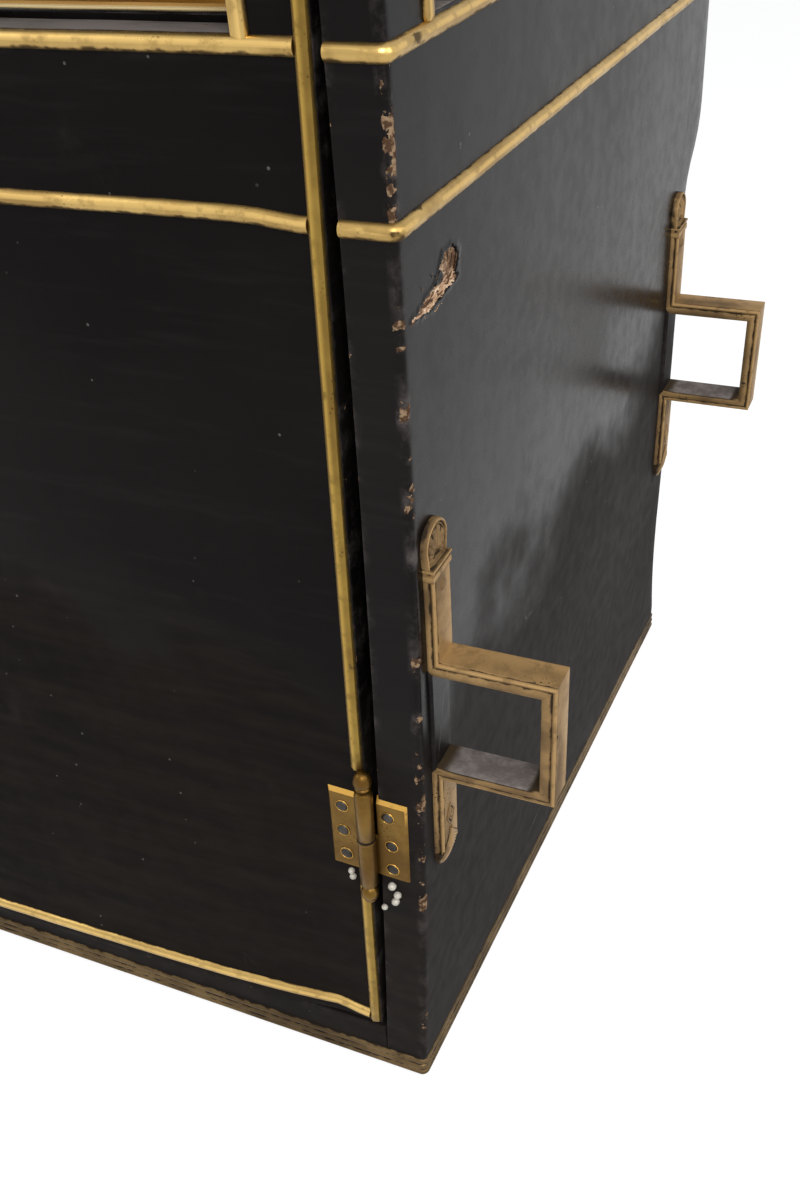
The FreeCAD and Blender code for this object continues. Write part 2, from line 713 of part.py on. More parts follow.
def build_pole_bracket(place_name, middle_y, pole_z):
    """A brass bar on a leather pad: from a shell it runs down the wall, round the pole and down the wall."""
    lean = size("pole_lean")
    half_bar = size("bracket_width") / 2
    bar = size("bracket_bar")
    gap = size("pole_gap_z")
    far = sill_half + ROOM

    def leaned(label, y, z):
        piece = block(label, (0, far), y, z)
        holder = together(f"{label}_leaned", piece)
        return place(holder, 0, middle_y, pole_z, angle=lean, about=X_AXIS)

    name = f"bracket_{place_name}"
    loop_block = leaned(f"{name}_loop", (-half_bar, half_bar), (-bar, gap + bar))
    hole_block = leaned(f"{name}_hole", (-half_bar * 2, half_bar * 2), (0, gap))
    leg_block = leaned(f"{name}_leg", (-half_bar, half_bar), (-size("bracket_drop"), size("bracket_rise")))
    pad_low = -size("bracket_drop") - size("pad_drop")
    pad_block = leaned(f"{name}_pad", (-half_bar, half_bar), (pad_low, size("bracket_rise")))
    strap_block = leaned(f"{name}_strap", (-half_bar, half_bar), (0, gap))
    shell_rod = rod(f"{name}_shell", size("shell_radius"), "x", (0, far), 0, size("bracket_rise"))
    shell_holder = together(f"{name}_shell_leaned", shell_rod)
    place(shell_holder, 0, middle_y, pole_z, angle=lean, about=X_AXIS)

    loop = common(f"{name}_loop_hugging", loop_block, bracket_hug)
    hole = common(f"{name}_hole_hugging", hole_block, pole_hug)
    leg = common(f"{name}_leg_hugging", leg_block, leg_hug)
    shell = common(f"{name}_shell_hugging", shell_holder, shell_hug)
    whole = cut(f"{name}_open", fuse(f"{name}_whole", loop, leg, shell), hole)
    pad_sheet = common(f"{name}_pad_sheet", pad_block, pad_hug)
    strap = common(f"{name}_strap_hugging", strap_block, strap_hug)
    pad = fuse(f"{name}_pad_whole", pad_sheet, strap)
    for label, solid, inside in (
        (f"pole_bracket_{place_name}", whole, pad_hug),
        (f"bracket_pad_{place_name}", pad, outer_section),
    ):
        right = keep(f"{label}_right", cut(f"{label}_right", solid, inside))
        keep(f"{label}_left", other_side(f"{label}_left", right))


def build_brackets():
    front = front_y + size("front_pole_inset")
    rear = back_y - size("rear_pole_inset")
    pole_z = size("front_pole_z")
    build_pole_bracket("front", front, pole_z)
    build_pole_bracket("rear", rear, pole_z + (rear - front) * tangent(size("pole_lean")))


def build_interior():
    """Seat, cushions and cloth linings."""
    board = size("board_thickness")
    seat_top = size("seat_top")
    inside_back = back_y - size("back_thickness")
    seat_front = inside_back - size("seat_depth")
    floor_top = size("floor_bottom") + size("floor_thickness")
    full = (-sill_half, sill_half)

    seat_space = block("seat_space", full, (seat_front, back_y), (seat_top - board, seat_top))
    seat_inside = common("seat_inside", inner_section, seat_space)
    keep("seat_board", common("seat_board", seat_inside, inner_view))
    riser_depth = (seat_front, seat_front + board)
    riser_space = block("riser_space", full, riser_depth, (floor_top, seat_top - board))
    keep("seat_riser", common("seat_riser", inner_section, riser_space))

    # The side cloths stop one thickness behind the cloth on the door's back.
    lining = size("lining_thickness")
    lined_section = cabin_section("lined_section", side + lining)
    lined_view = cabin_side_view("lined_view", size("back_thickness") + lining, front_y - PAST)
    side_cloth = cut("side_cloth", inner_section, lined_section)
    cloth_front = post_back_y + lining * 2
    cloth_space = block("cloth_space", (0, sill_half), (cloth_front, back_y), (seat_top, window_sill))
    low_cloth = common("low_cloth", side_cloth, cloth_space)
    right_cloth = keep("side_lining_right", common("side_lining_right", low_cloth, inner_view))
    keep("side_lining_left", other_side("side_lining_left", right_cloth))
    back_cloth = cut("back_cloth", inner_view, lined_view)
    back_space = block("back_cloth_space", full, (0, back_y), (seat_top, head_rail_bottom))
    back_inside = common("back_cloth_inside", back_cloth, back_space)
    keep("back_lining", common("back_lining", back_inside, lined_section))

    gap = size("cushion_gap")
    squab_back = inside_back - lining - size("back_inset_high") - size("fit_gap")
    squab_front = squab_back - size("squab_thickness")
    cushion_bottom = seat_top + size("fit_gap")
    cushion_top = cushion_bottom + size("cushion_thickness")
    cushion_half = half_width - side - gap
    across = (-cushion_half, cushion_half)
    along = (seat_front + gap, squab_back)
    keep("seat_cushion", block("seat_cushion", across, along, (cushion_bottom, cushion_top)))
    squab_bottom = cushion_top + size("fit_gap")
    squab_heights = (squab_bottom, squab_bottom + size("squab_height"))
    keep("back_cushion", block("back_cushion", across, (squab_front, squab_back), squab_heights))


def build_roof():
    """The lifting roof: a timber rim, a domed shell, its lining, brass moulding and corner finials."""
    gap = size("roof_gap")
    rim_bottom = wall_top + gap
    rim_top = rim_bottom + size("rim_height")
    half_x = sill_half + size("eaves")
    half_y = back_y + size("eaves")
    width = size("rim_width")
    rim_outside = block("rim_outside", (-half_x, half_x), (-half_y, half_y), (rim_bottom, rim_top))
    rim_inside = block(
        "rim_inside",
        (-half_x + width, half_x - width),
        (-half_y + width, half_y - width),
        (rim_bottom - PAST, rim_top + PAST),
    )
    keep("roof_rim", cut("roof_rim", rim_outside, rim_inside))

    def dome(label, shrink):
        """Two crossing vaults of the same rise, which meet along the hips."""
        rise = size("roof_rise") - shrink
        vaults = []
        for name, plane, half, length in (
            ("across", ACROSS_PLANE, half_x, half_y),
            ("along", ALONG_PLANE, half_y, half_x),
        ):
            span = half - shrink
            # The arc's centre lies below the rim: half the difference of the squares over the rise.
            depth = (span * span - rise * rise) / (rise * 2)
            section = profile(
                f"{label}_{name}_outline",
                plane,
                [
                    (span, rim_top),
                    (0, rim_top + rise, rim_top - depth),
                    (-span, rim_top, rim_top - depth),
                ],
            )
            vaults.append(extruded(f"{label}_{name}", section, length, length))
        return common(label, vaults[0], vaults[1])

    shell = size("roof_shell")
    outer_dome = dome("outer_dome", 0)
    inner_dome = dome("inner_dome", shell)
    keep("roof_shell", cut("roof_shell", outer_dome, inner_dome))

    lining = size("lining_thickness")
    play = size("fit_gap")
    ceiling = block(
        "roof_lining",
        (-half_x + width + play, half_x - width - play),
        (-half_y + width + play, half_y - width - play),
        (rim_bottom, rim_bottom + lining),
    )
    keep("roof_lining", ceiling)

    radius = size("eaves_moulding")
    level = (rim_bottom + rim_top) / 2
    rods = []
    for name, sign in (("right", 1), ("left", -1)):
        rods.append(rod(f"eaves_{name}", radius, "y", half_x * sign, (-half_y, half_y), level))
        rods.append(rod(f"eaves_end_{name}", radius, "x", (-half_x, half_x), half_y * sign, level))
        rods.append(ball(f"eaves_front_{name}", radius, half_x * sign, -half_y, level))
        rods.append(ball(f"eaves_back_{name}", radius, half_x * sign, half_y, level))
    keep("roof_moulding", cut("roof_moulding", fuse("eaves_ring", *rods), rim_outside))

    # Each finial stands on a drum that is cut to the dome's slope.
    tall = size("finial_height")
    wide = size("finial_radius")
    drum = size("roof_rise") / 4
    neck = wide / 4
    inset = width / 2
    finials = []
    for number, (sign_x, sign_y) in enumerate(((1, 1), (1, -1), (-1, 1), (-1, -1)), start=1):
        whole = turned(
            f"finial_{number}_whole",
            [
                (0, 0),
                (wide, 0),
                (wide, drum),
                (neck, drum + neck),
                (neck, drum + tall - wide * 2),
                (wide, drum + tall - wide),
                (0, drum + tall, drum + tall - wide),
            ],
            (half_x - inset) * sign_x,
            (half_y - inset) * sign_y,
            rim_top,
        )
        finials.append(cut(f"finial_{number}", whole, outer_dome))
    keep("roof_finials", together("roof_finials", *finials))


def build_roof_hinges():
    """Two hinges at the back. The pins and middle knuckles belong to the wall, the others to the roof."""
    pin_z = wall_top - size("roof_knuckle") + size("roof_gap") - size("fit_gap")
    pin_y_back = back_y + size("eaves") - size("roof_knuckle") * 2
    length = size("roof_knuckle_length")
    knuckle = size("roof_knuckle")
    play = size("pin_play")
    gap = size("fit_gap")
    leaf = size("leaf_thickness")
    fixed = []
    moving = []
    for name, sign in (("right", 1), ("left", -1)):
        middle = size("roof_hinge_spread") * sign
        half = length / 2
        label = f"roof_hinge_{name}"
        centre = rod(f"{label}_centre", knuckle, "x", (middle - half, middle + half), pin_y_back, pin_z)
        pin_half = length * 1.5 + size("roof_pin_end")
        pin_ends = (middle - pin_half, middle + pin_half)
        pin = rod(f"{label}_pin", size("roof_pin_radius"), "x", pin_ends, pin_y_back, pin_z)
        arm = block(
            f"{label}_arm",
            (middle - half, middle + half),
            (back_y, pin_y_back),
            (pin_z - leaf / 2, pin_z + leaf / 2),
        )
        plate = block(
            f"{label}_plate",
            (middle - half, middle + half),
            (back_y, back_y + leaf),
            (pin_z - size("roof_leaf_drop"), pin_z + leaf / 2),
        )
        fixed.append(fuse(f"{label}_fixed", centre, pin, arm, plate))
        for ear, way in (("outer", 1), ("inner", -1)):
            near = middle + (half + gap) * way
            ends = sorted((near, near + length * way), key=lambda end: end.value)
            sleeve = rod(f"{label}_{ear}_sleeve", knuckle, "x", tuple(ends), pin_y_back, pin_z)
            tab = block(
                f"{label}_{ear}_tab",
                tuple(ends),
                (pin_y_back - knuckle, pin_y_back + knuckle),
                (pin_z, wall_top + size("roof_gap")),
            )
            bore = rod(
                f"{label}_{ear}_bore",
                size("roof_pin_radius") + play,
                "x",
                inside(ends, -PAST),
                pin_y_back,
                pin_z,
            )
            moving.append(cut(f"{label}_{ear}", fuse(f"{label}_{ear}_solid", sleeve, tab), bore))
    keep("roof_hinge_brackets", together("roof_hinge_brackets", *fixed))
    keep("roof_hinge_knuckles", together("roof_hinge_knuckles", *moving))


def check_and_write():
    """Stops if anything failed, and writes one file for each sub-part."""
    doc.recompute()
    failed = [thing.Name for thing in doc.Objects if {"Invalid", "Error"} & set(thing.State)]
    if failed:
        raise RuntimeError(f"these objects failed: {failed}")
    os.makedirs("parts", exist_ok=True)
    for label, thing in parts.items():
        if thing.Shape.isNull() or not thing.Shape.isValid() or not thing.Shape.Solids:
            raise RuntimeError(f"{label} is not a sound solid")
    for label, thing in parts.items():
        thing.Shape.exportStep(f"parts/{label}.step")
        print(f"{label}: {len(thing.Shape.Solids)} solid, {thing.Shape.Volume / 1e6:.3f} litres")


bracket_hug = cabin_section("bracket_hug", -(size("pole_gap_x") + size("bracket_bar")))
pole_hug = cabin_section("pole_hug", -size("pole_gap_x"))
leg_hug = cabin_section("leg_hug", -size("bracket_leg"))
pad_hug = cabin_section("pad_hug", -size("pad_thickness"))
strap_hug = cabin_section("strap_hug", -size("strap_thickness"))
shell_hug = cabin_section("shell_hug", -size("shell_proud"))

build_cabin()
build_mouldings()
build_windows()
build_door()
build_door_trim()
build_door_hinge("low", low_hinge_z)
build_door_hinge("high", high_hinge_z)
build_brackets()
build_interior()
build_roof()
build_roof_hinges()
check_and_write()
pin_x = door_edge_x(low_hinge_z) + size("pin_outside")
print(f"door hinge pin: x {pin_x.value:.3f} at z {low_hinge_z.value:.1f}, y {pin_y.value:.3f}")
print(f"door hinge lean: {hinge_lean.value:.4f} degrees")
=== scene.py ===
import json
import math
from random import Random

import bmesh
import bpy
from mathutils import Matrix, Vector, noise
from mathutils.bvhtree import BVHTree

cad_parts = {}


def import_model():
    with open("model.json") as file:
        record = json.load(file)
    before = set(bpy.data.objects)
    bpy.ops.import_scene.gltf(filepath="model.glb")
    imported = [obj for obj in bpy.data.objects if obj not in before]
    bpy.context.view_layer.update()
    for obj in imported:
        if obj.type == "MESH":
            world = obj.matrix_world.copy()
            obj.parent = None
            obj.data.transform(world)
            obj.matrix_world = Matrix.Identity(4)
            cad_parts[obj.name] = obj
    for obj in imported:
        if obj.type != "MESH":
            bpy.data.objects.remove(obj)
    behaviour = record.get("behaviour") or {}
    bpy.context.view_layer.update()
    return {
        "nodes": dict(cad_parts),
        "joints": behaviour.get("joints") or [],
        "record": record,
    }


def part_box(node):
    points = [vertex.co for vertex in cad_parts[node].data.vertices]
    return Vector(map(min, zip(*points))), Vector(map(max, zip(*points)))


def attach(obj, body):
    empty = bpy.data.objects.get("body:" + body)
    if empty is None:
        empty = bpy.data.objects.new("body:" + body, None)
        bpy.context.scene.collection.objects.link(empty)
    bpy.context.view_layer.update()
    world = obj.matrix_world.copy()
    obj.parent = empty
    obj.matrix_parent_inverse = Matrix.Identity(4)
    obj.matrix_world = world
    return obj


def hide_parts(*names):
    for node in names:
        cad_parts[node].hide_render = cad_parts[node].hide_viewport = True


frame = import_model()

# The sedan chair's looks, in the CAD model's frame: leather, brass, cloth, glass and wood round its pieces.
# Sizes are in millimetres here and become metres when a piece's mesh is made.

noise.seed_set(7)  # noise_vector would otherwise take its offset from the clock
MM = 1000.0


def box_mm(node):
    low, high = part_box(node)
    return Vector(low) * MM, Vector(high) * MM


# Places taken from the frame.
POST_LOW, POST_HIGH = box_mm("front_post_right")
BASE_LOW, BASE_HIGH = box_mm("base_moulding")
DOOR_LOW, DOOR_HIGH = box_mm("door_panel")
HEAD_RAIL_LOW, HEAD_RAIL_HIGH = box_mm("front_head_rail")
SILL_RAIL_HIGH = box_mm("front_sill_rail")[1]
GLASS_LOW, GLASS_HIGH = box_mm("side_sash_right")
TRIM_HIGH = box_mm("door_window_trim")[1]
FRONT = POST_LOW.y
POST_BACK = POST_HIGH.y
BACK = box_mm("side_wall_right")[1].y
WALL_TOP = POST_HIGH.z
SILL_HALF = POST_HIGH.x
SIDE = SILL_HALF - HEAD_RAIL_HIGH.x
FOOT_HALF = BASE_HIGH.x - (FRONT - BASE_LOW.y)
FIT = 0.3
WINDOW_SILL = GLASS_LOW.z - FIT
WINDOW_HEAD = GLASS_HIGH.z + FIT
SIDE_WINDOW = (GLASS_LOW.y - FIT, GLASS_HIGH.y + FIT)
DOOR_WINDOW_HALF = TRIM_HIGH.x - 12

# Sizes of the finish that the frame doesn't hold.
FLARE_TOP = WINDOW_SILL + 92  # where the sides turn vertical
HIDE = 1.2  # how far the leather's face stands off the wall
CORNER = 2.6  # radius of the leather at the cabin's corners
FOOT = 1.2  # how far the hide's lower edge is above the ground
SIDES = (("right", 1), ("left", -1))


def side_x(z):
    """Half the cabin's width at a height: the sides lean out along an arc and then stand upright."""
    short = max(0.0, FLARE_TOP - z) / FLARE_TOP
    return SILL_HALF - (SILL_HALF - FOOT_HALF) * short * short


def smooth_step(value, low, high):
    share = min(1.0, max(0.0, (value - low) / (high - low)))
    return share * share * (3 - 2 * share)


def ripple(point, size, seed=0):
    """Soft noise from -1 to 1 that changes over a distance of size."""
    return noise.noise(Vector(point) / size + Vector((seed * 7.3, seed * 3.1, seed * 5.7)))


def turns(count):
    """The angles of points spread round a circle."""
    return [2 * math.pi * number / count for number in range(count)]


def steps(start, end, size, *stops):
    """Values from start to end, about size apart, that include the stops."""
    marks = sorted({start, end, *(stop for stop in stops if start < stop < end)})
    values = [marks[0]]
    for one, two in zip(marks, marks[1:]):
        count = max(1, round((two - one) / size))
        values += [one + (two - one) * number / count for number in range(1, count + 1)]
    return values


# ---- shapes


class Shape:
    """A mesh in the making: points in millimetres, each with its age from 0 to 1, and faces."""

    def __init__(self):
        self.points = []
        self.ages = []
        self.faces = []

    def row(self, points, age=0.0):
        first = len(self.points)
        ages = age if isinstance(age, (list, tuple)) else [age] * len(points)
        self.points += [Vector(point) for point in points]
        self.ages += list(ages)
        return list(range(first, len(self.points)))

    def join(self, rows, closed=False, caps=False):
        """Faces between neighbouring rows of points."""
        for one, two in zip(rows, rows[1:]):
            count = len(one)
            for here in range(count if closed else count - 1):
                after = (here + 1) % count
                self.faces.append((one[here], one[after], two[after], two[here]))
        if caps:
            self.faces.append(tuple(reversed(rows[0])))
            self.faces.append(tuple(rows[-1]))

    def sweep(self, section, path, outs, sizes=None, loop=False):
        """Carries a closed section, given as (out, across, age), along a path. The outs are the surface's
        normals at the path's points, and corners are mitred."""
        count = len(path)
        path = [Vector(point) for point in path]
        rows = []
        for number, here in enumerate(path):
            first = number == 0 and not loop
            last = number == count - 1 and not loop
            into = (path[1] - here if first else here - path[number - 1]).normalized()
            away = into if last else (path[(number + 1) % count] - here).normalized()
            along = (into + away).normalized()
            out = Vector(outs[number])
            out = (out - along * out.dot(along)).normalized()
            across = along.cross(out)
            bend = into.cross(away)
            stretch = Vector((0, 0, 0))
            gain = 0.0
            if bend.length > 1e-4:
                stretch = along.cross(bend).normalized()
                gain = 1 / max(0.3, along.dot(into)) - 1
            size = sizes[number] if sizes else 1.0
            ring = []
            for up, sideways, _ in section:
                offset = (out * up + across * sideways) * size
                ring.append(here + offset + stretch * offset.dot(stretch) * gain)
            rows.append(self.row(ring, [age for _, _, age in section]))
        if loop:
            rows.append(rows[0])
        self.join(rows, closed=True, caps=not loop)

    def lathe(self, profile, centre, axis, around=20, age=0.0):
        """A round shape whose profile is given as (radius, distance along the axis)."""
        axis = Vector(axis).normalized()
        side = axis.orthogonal().normalized()
        other = axis.cross(side)
        outs = [side * math.cos(turn) + other * math.sin(turn) for turn in turns(around)]
        rows = []
        for radius, distance in profile:
            middle = Vector(centre) + axis * distance
            rows.append(self.row([middle + out * max(radius, 0.02) for out in outs], age))
        self.join(rows, closed=True, caps=True)

    def moved(self, matrix):
        self.points = [matrix @ point for point in self.points]
        return self

    def include(self, other):
        first = len(self.points)
        self.points += [point.copy() for point in other.points]
        self.ages += other.ages
        self.faces += [tuple(first + corner for corner in face) for face in other.faces]
        return self


def rounded(path, radius):
    """A path and its section sizes, with both ends rounded off over a radius."""
    path = [Vector(point) for point in path]
    start = (path[1] - path[0]).normalized()
    finish = (path[-1] - path[-2]).normalized()
    angles = [math.radians(angle) for angle in (12, 35, 60)]
    head = [path[0] + start * radius * (1 - math.cos(angle)) for angle in angles]
    tail = [path[-1] - finish * radius * (1 - math.cos(angle)) for angle in reversed(angles)]
    middle = [path[0] + start * radius, *path[1:-1], path[-1] - finish * radius]
    small = [math.sin(angle) for angle in angles]
    return head + middle + tail, small + [1.0] * len(middle) + list(reversed(small))


def half_round(radius, height):
    """The section of a half-round moulding, with dust where its top meets the wall, ages near 0 along its crest for the
    brass's painted highlight, and grime with painted shade on its lower half.
    """
    sunk, points = 0.6, 12
    section = [(-sunk, -radius, 2.0)]
    for number in range(points + 1):
        angle = math.pi * number / points
        up = math.sin(angle)
        dust = max(0.0, 2.0 - number) if number < 2 else 0.0
        # The lower half is aged darker: grime, and painted shade under the moulding.
        tarnish_and_shade = 0.85 * smooth_step(number / points, 0.45, 0.8)
        section.append((up * height, -math.cos(angle) * radius, max(dust, tarnish_and_shade, (1 - up) ** 1.5 * 0.9)))
    section.append((-sunk, radius, 1.0))
    return section


def placed(name, data):
    """A new object in the scene."""
    made = bpy.data.objects.new(name, data)
    bpy.context.collection.objects.link(made)
    return made


def piece(name, shape, body, finish, stands_for=(), crease=38, lively=0.0):
    """Makes a shape into a piece of the object. lively is how far its surface wanders, in millimetres."""
    mesh = bpy.data.meshes.new(name)
    mesh.from_pydata([point / MM for point in shape.points], [], shape.faces)
    ages = mesh.attributes.new("age", "FLOAT", "POINT")
    ages.data.foreach_set("value", shape.ages)
    work = bmesh.new()
    work.from_mesh(mesh)
    bmesh.ops.remove_doubles(work, verts=work.verts, dist=0.00002)
    bmesh.ops.recalc_face_normals(work, faces=work.faces)
    if lively:
        for vertex in work.verts:
            shift = noise.noise_vector(vertex.co * 28) + noise.noise_vector(vertex.co * 7) * 1.5
            vertex.co += shift * (lively / MM)
    work.to_mesh(mesh)
    work.free()
    mesh.polygons.foreach_set("use_smooth", [True] * len(mesh.polygons))
    mesh.set_sharp_from_angle(angle=math.radians(crease))
    thing = placed(name, mesh)
    mesh.materials.append(finish)
    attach(thing, body)
    if stands_for:
        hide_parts(*stands_for)
    return thing


# ---- materials


def shade(colour, share):
    return tuple(part * share for part in colour)


class Finish:
    """A Principled material whose textures are placed in the piece's own space, in metres."""

    def __init__(self, name, **values):
        self.material = bpy.data.materials.new(name)
        self.material.use_nodes = True
        self.tree = self.material.node_tree
        self.shader = self.tree.nodes["Principled BSDF"]
        for socket, value in values.items():
            self.shader.inputs[socket.replace("_", " ")].default_value = value
        self.place = self.node("ShaderNodeTexCoord").outputs["Object"]

    def node(self, kind, sockets=(), **settings):
        made = self.tree.nodes.new(kind)
        for key, value in settings.items():
            setattr(made, key, value)
        for key, value in dict(sockets).items():
            self.feed(made.inputs[key], value)
        return made

    def feed(self, socket, value):
        if isinstance(value, bpy.types.NodeSocket):
            self.tree.links.new(value, socket)
        elif value is not None:
            socket.default_value = value

    def spot(self, stretch):
        if stretch is None:
            return self.place
        return self.node("ShaderNodeMapping", {"Vector": self.place, "Scale": stretch}).outputs["Vector"]

    def noise(self, scale, detail=3.0, rough=0.55, warp=0.0, stretch=None):
        sockets = {
            "Vector": self.spot(stretch), "Scale": scale, "Detail": detail, "Roughness": rough, "Distortion": warp
        }
        return self.node("ShaderNodeTexNoise", sockets).outputs[0]

    def cells(self, scale, feature="F1", stretch=None):
        sockets = {"Vector": self.spot(stretch), "Scale": scale}
        return self.node("ShaderNodeTexVoronoi", sockets, feature=feature).outputs["Distance"]

    def age(self):
        return self.node("ShaderNodeAttribute", attribute_name="age").outputs["Fac"]

    def height(self):
        return self.node("ShaderNodeSeparateXYZ", {"Vector": self.place}).outputs["Z"]

    def between(self, value, low, high, start=0.0, end=1.0):
        sockets = {"Value": value, "From Min": low, "From Max": high, "To Min": start, "To Max": end}
        return self.node("ShaderNodeMapRange", sockets, interpolation_type="SMOOTHSTEP").outputs["Result"]

    def maths(self, operation, one, two):
        made = self.node("ShaderNodeMath", operation=operation)
        self.feed(made.inputs[0], one)
        self.feed(made.inputs[1], two)
        return made.outputs["Value"]

    def times(self, one, two):
        return self.maths("MULTIPLY", one, two)

    def plus(self, one, two):
        return self.maths("ADD", one, two)

    def most(self, one, two):
        return self.maths("MAXIMUM", one, two)

    def mix(self, share, one, two):
        made = self.node("ShaderNodeMix", data_type="RGBA")
        self.feed(made.inputs["Factor"], share)
        self.feed(made.inputs[6], (*one, 1.0) if isinstance(one, tuple) else one)
        self.feed(made.inputs[7], (*two, 1.0) if isinstance(two, tuple) else two)
        return made.outputs[2]

    def bump(self, height, depth, under=None):
        """Relief of a depth in millimetres, on top of other relief."""
        sockets = {"Height": height, "Distance": depth / MM, "Strength": 1.0, "Normal": under}
        return self.node("ShaderNodeBump", sockets).outputs["Normal"]

    def done(self, colour, roughness, normal):
        self.feed(self.shader.inputs["Base Color"], colour)
        self.feed(self.shader.inputs["Roughness"], roughness)
        self.feed(self.shader.inputs["Normal"], normal)
        return self.material


# The hide's lower half has lost its polish: up to this height in metres.
DULL_TOP = 0.45


def leather(name, dusty=0.0, gloss=0.1):
    """Black japanned hide: smooth, with soft creases, scratches, dust, and chips down to the brown core. Its lower
    half is dull, below a wavy line."""
    finish = Finish(name, Specular_IOR_Level=gloss, Specular_Tint=(1.0, 0.93, 0.92, 1.0))
    broad = finish.noise(3.2, 4.0)
    fine = finish.noise(60.0, 4.0)
    brushed = finish.noise(9.0, 5.0, 0.6, 0.0, (1.0, 1.0, 9.0))
    base = finish.mix(finish.between(broad, 0.35, 0.7), (0.0032, 0.0025, 0.0024), (0.0066, 0.0054, 0.005))
    base = finish.mix(finish.between(brushed, 0.5, 0.75, 0.0, 0.35), base, (0.014, 0.0125, 0.012))
    line = finish.plus(finish.height(), finish.between(finish.noise(5.0, 3.0), 0.3, 0.7, -0.05, 0.05))
    worn = finish.between(line, DULL_TOP - 0.06, DULL_TOP + 0.06, 1.0, 0.0)
    base = finish.mix(finish.times(worn, finish.between(brushed, 0.3, 0.7, 0.1, 0.6)), base, (0.015, 0.0115, 0.009))
    rubbed = finish.between(finish.noise(11.0, 6.0, 0.65), 0.62, 0.8, 0.0, 0.3)
    base = finish.mix(rubbed, base, (0.035, 0.028, 0.024))

    # Fine scratches and cobwebs: the borders of large cells, shown only in places.
    lines = finish.between(finish.cells(6.5, "DISTANCE_TO_EDGE", (1.0, 1.0, 0.45)), 0.0, 0.007, 1.0, 0.0)
    places = finish.between(finish.noise(5.0, 3.0), 0.62, 0.68)
    scratch = finish.times(finish.times(lines, places), finish.between(fine, 0.45, 0.6))
    base = finish.mix(finish.times(scratch, 0.4), base, (0.17, 0.16, 0.15))
    dust = finish.between(finish.cells(75.0), 0.1, 0.07)
    dust = finish.times(dust, finish.between(finish.noise(17.0, 2.0), 0.62, 0.66))
    base = finish.mix(finish.times(dust, 0.3), base, (0.3, 0.28, 0.26))

    if dusty:
        film = finish.between(finish.noise(26.0, 6.0, 0.7, 0.3, (0.25, 1.0, 1.0)), 0.3, 0.6, dusty * 0.35, dusty)
        base = finish.mix(film, base, (0.19, 0.165, 0.15))

    # Along the edges: a dusty grey bloom, and chips with a brown core and pale crackle in it.
    age = finish.age()
    bloom = finish.times(age, finish.between(finish.noise(34.0, 5.0, 0.7), 0.46, 0.74, 0.0, 0.55))
    base = finish.mix(bloom, base, (0.1, 0.085, 0.08))
    chips = finish.plus(finish.noise(85.0, 4.0, 0.62), finish.times(age, 0.22))
    chips = finish.plus(chips, finish.between(finish.noise(13.0, 2.0), 0.4, 0.72, -0.16, 0.04))
    chipped = finish.between(chips, 0.79, 0.81)
    core = finish.mix(finish.between(finish.noise(260.0, 4.0), 0.45, 0.6), (0.075, 0.04, 0.022), (0.3, 0.2, 0.12))
    base = finish.mix(chipped, base, core)

    roughness = finish.between(broad, 0.25, 0.75, 0.22 + dusty * 0.4, 0.3 + dusty * 0.5)
    roughness = finish.plus(roughness, finish.times(worn, 0.42))
    roughness = finish.plus(roughness, finish.between(fine, 0.3, 0.7, -0.03, 0.05))
    roughness = finish.most(roughness, finish.times(chipped, 0.9))
    roughness = finish.most(roughness, finish.times(bloom, 0.8))

    relief = finish.bump(finish.noise(4.5, 2.0, 0.5, 0.0, (1.0, 1.0, 0.45)), 2.0)
    relief = finish.bump(finish.noise(24.0, 3.0, 0.5, 0.3, (1.0, 1.0, 0.18)), 0.16, relief)
    relief = finish.bump(finish.noise(130.0, 3.0, 0.6), 0.035, relief)
    relief = finish.bump(finish.times(chipped, -1.0), 0.3, relief)
    return finish.done(base, roughness, relief)


def brass(name, bright, dull, grime, shine=(0.24, 0.4), marks=0.5, metallic=1.0, rubbed=1.45, gloss=0.5):
    """Brass with a patina: bright where it is rubbed, brown where it isn't, tarnished marks, and grimy edges, which
    also carry painted shade where a section ages its underside. Crests of age near 0 get polish and a painted
    highlight. An age above 1 is dust that lies on it."""
    finish = Finish(name, Metallic=metallic, Specular_IOR_Level=gloss)
    cloud = finish.noise(16.0, 5.0, 0.6, 0.4)
    base = finish.mix(finish.between(cloud, 0.38, 0.66), bright, dull)
    streak = finish.between(finish.noise(70.0, 5.0, 0.62), 0.48, 0.72, 0.0, 0.5)
    base = finish.mix(streak, base, dull)
    blots = finish.between(finish.noise(38.0, 4.0, 0.6), 0.67, 0.72, 0.0, marks)
    dots = finish.between(finish.cells(300.0), 0.3, 0.16)
    dots = finish.times(dots, finish.between(finish.noise(30.0, 2.0), 0.52, 0.64))
    # Grime where the age is high; on half-round mouldings this is also painted shade on their lower halves.
    edge = finish.plus(finish.age(), finish.between(finish.noise(90.0, 4.0), 0.3, 0.7, -0.3, 0.3))
    edge = finish.between(edge, 0.5, 0.95, 0.0, 0.92)
    grime_and_shade = finish.most(finish.most(blots, edge), finish.times(dots, marks))
    base = finish.mix(grime_and_shade, base, grime)
    # Crests of age near 0 are lightened by rubbed: polish and a painted highlight.
    crest = finish.times(finish.between(finish.age(), 0.1, 0.0), finish.between(streak, 0.0, 0.35, 1.0, 0.3))
    base = finish.mix(finish.times(crest, 0.8), base, tuple(min(0.85, part * rubbed) for part in bright))
    dusty = finish.between(finish.age(), 1.4, 1.9)
    powder = finish.mix(finish.between(finish.noise(55.0, 6.0, 0.7), 0.4, 0.66), (0.14, 0.118, 0.108),
        (0.25, 0.215, 0.195))
    base = finish.mix(dusty, base, powder)
    roughness = finish.between(cloud, 0.3, 0.7, *shine)
    roughness = finish.plus(roughness, finish.times(grime_and_shade, 0.25))
    roughness = finish.most(roughness, finish.times(dusty, 0.75))
    relief = finish.bump(finish.noise(28.0, 3.0), 0.35)
    relief = finish.bump(finish.noise(300.0, 3.0), 0.03, relief)
    relief = finish.bump(finish.times(dots, -1.0), 0.06, relief)
    return finish.done(base, roughness, relief)


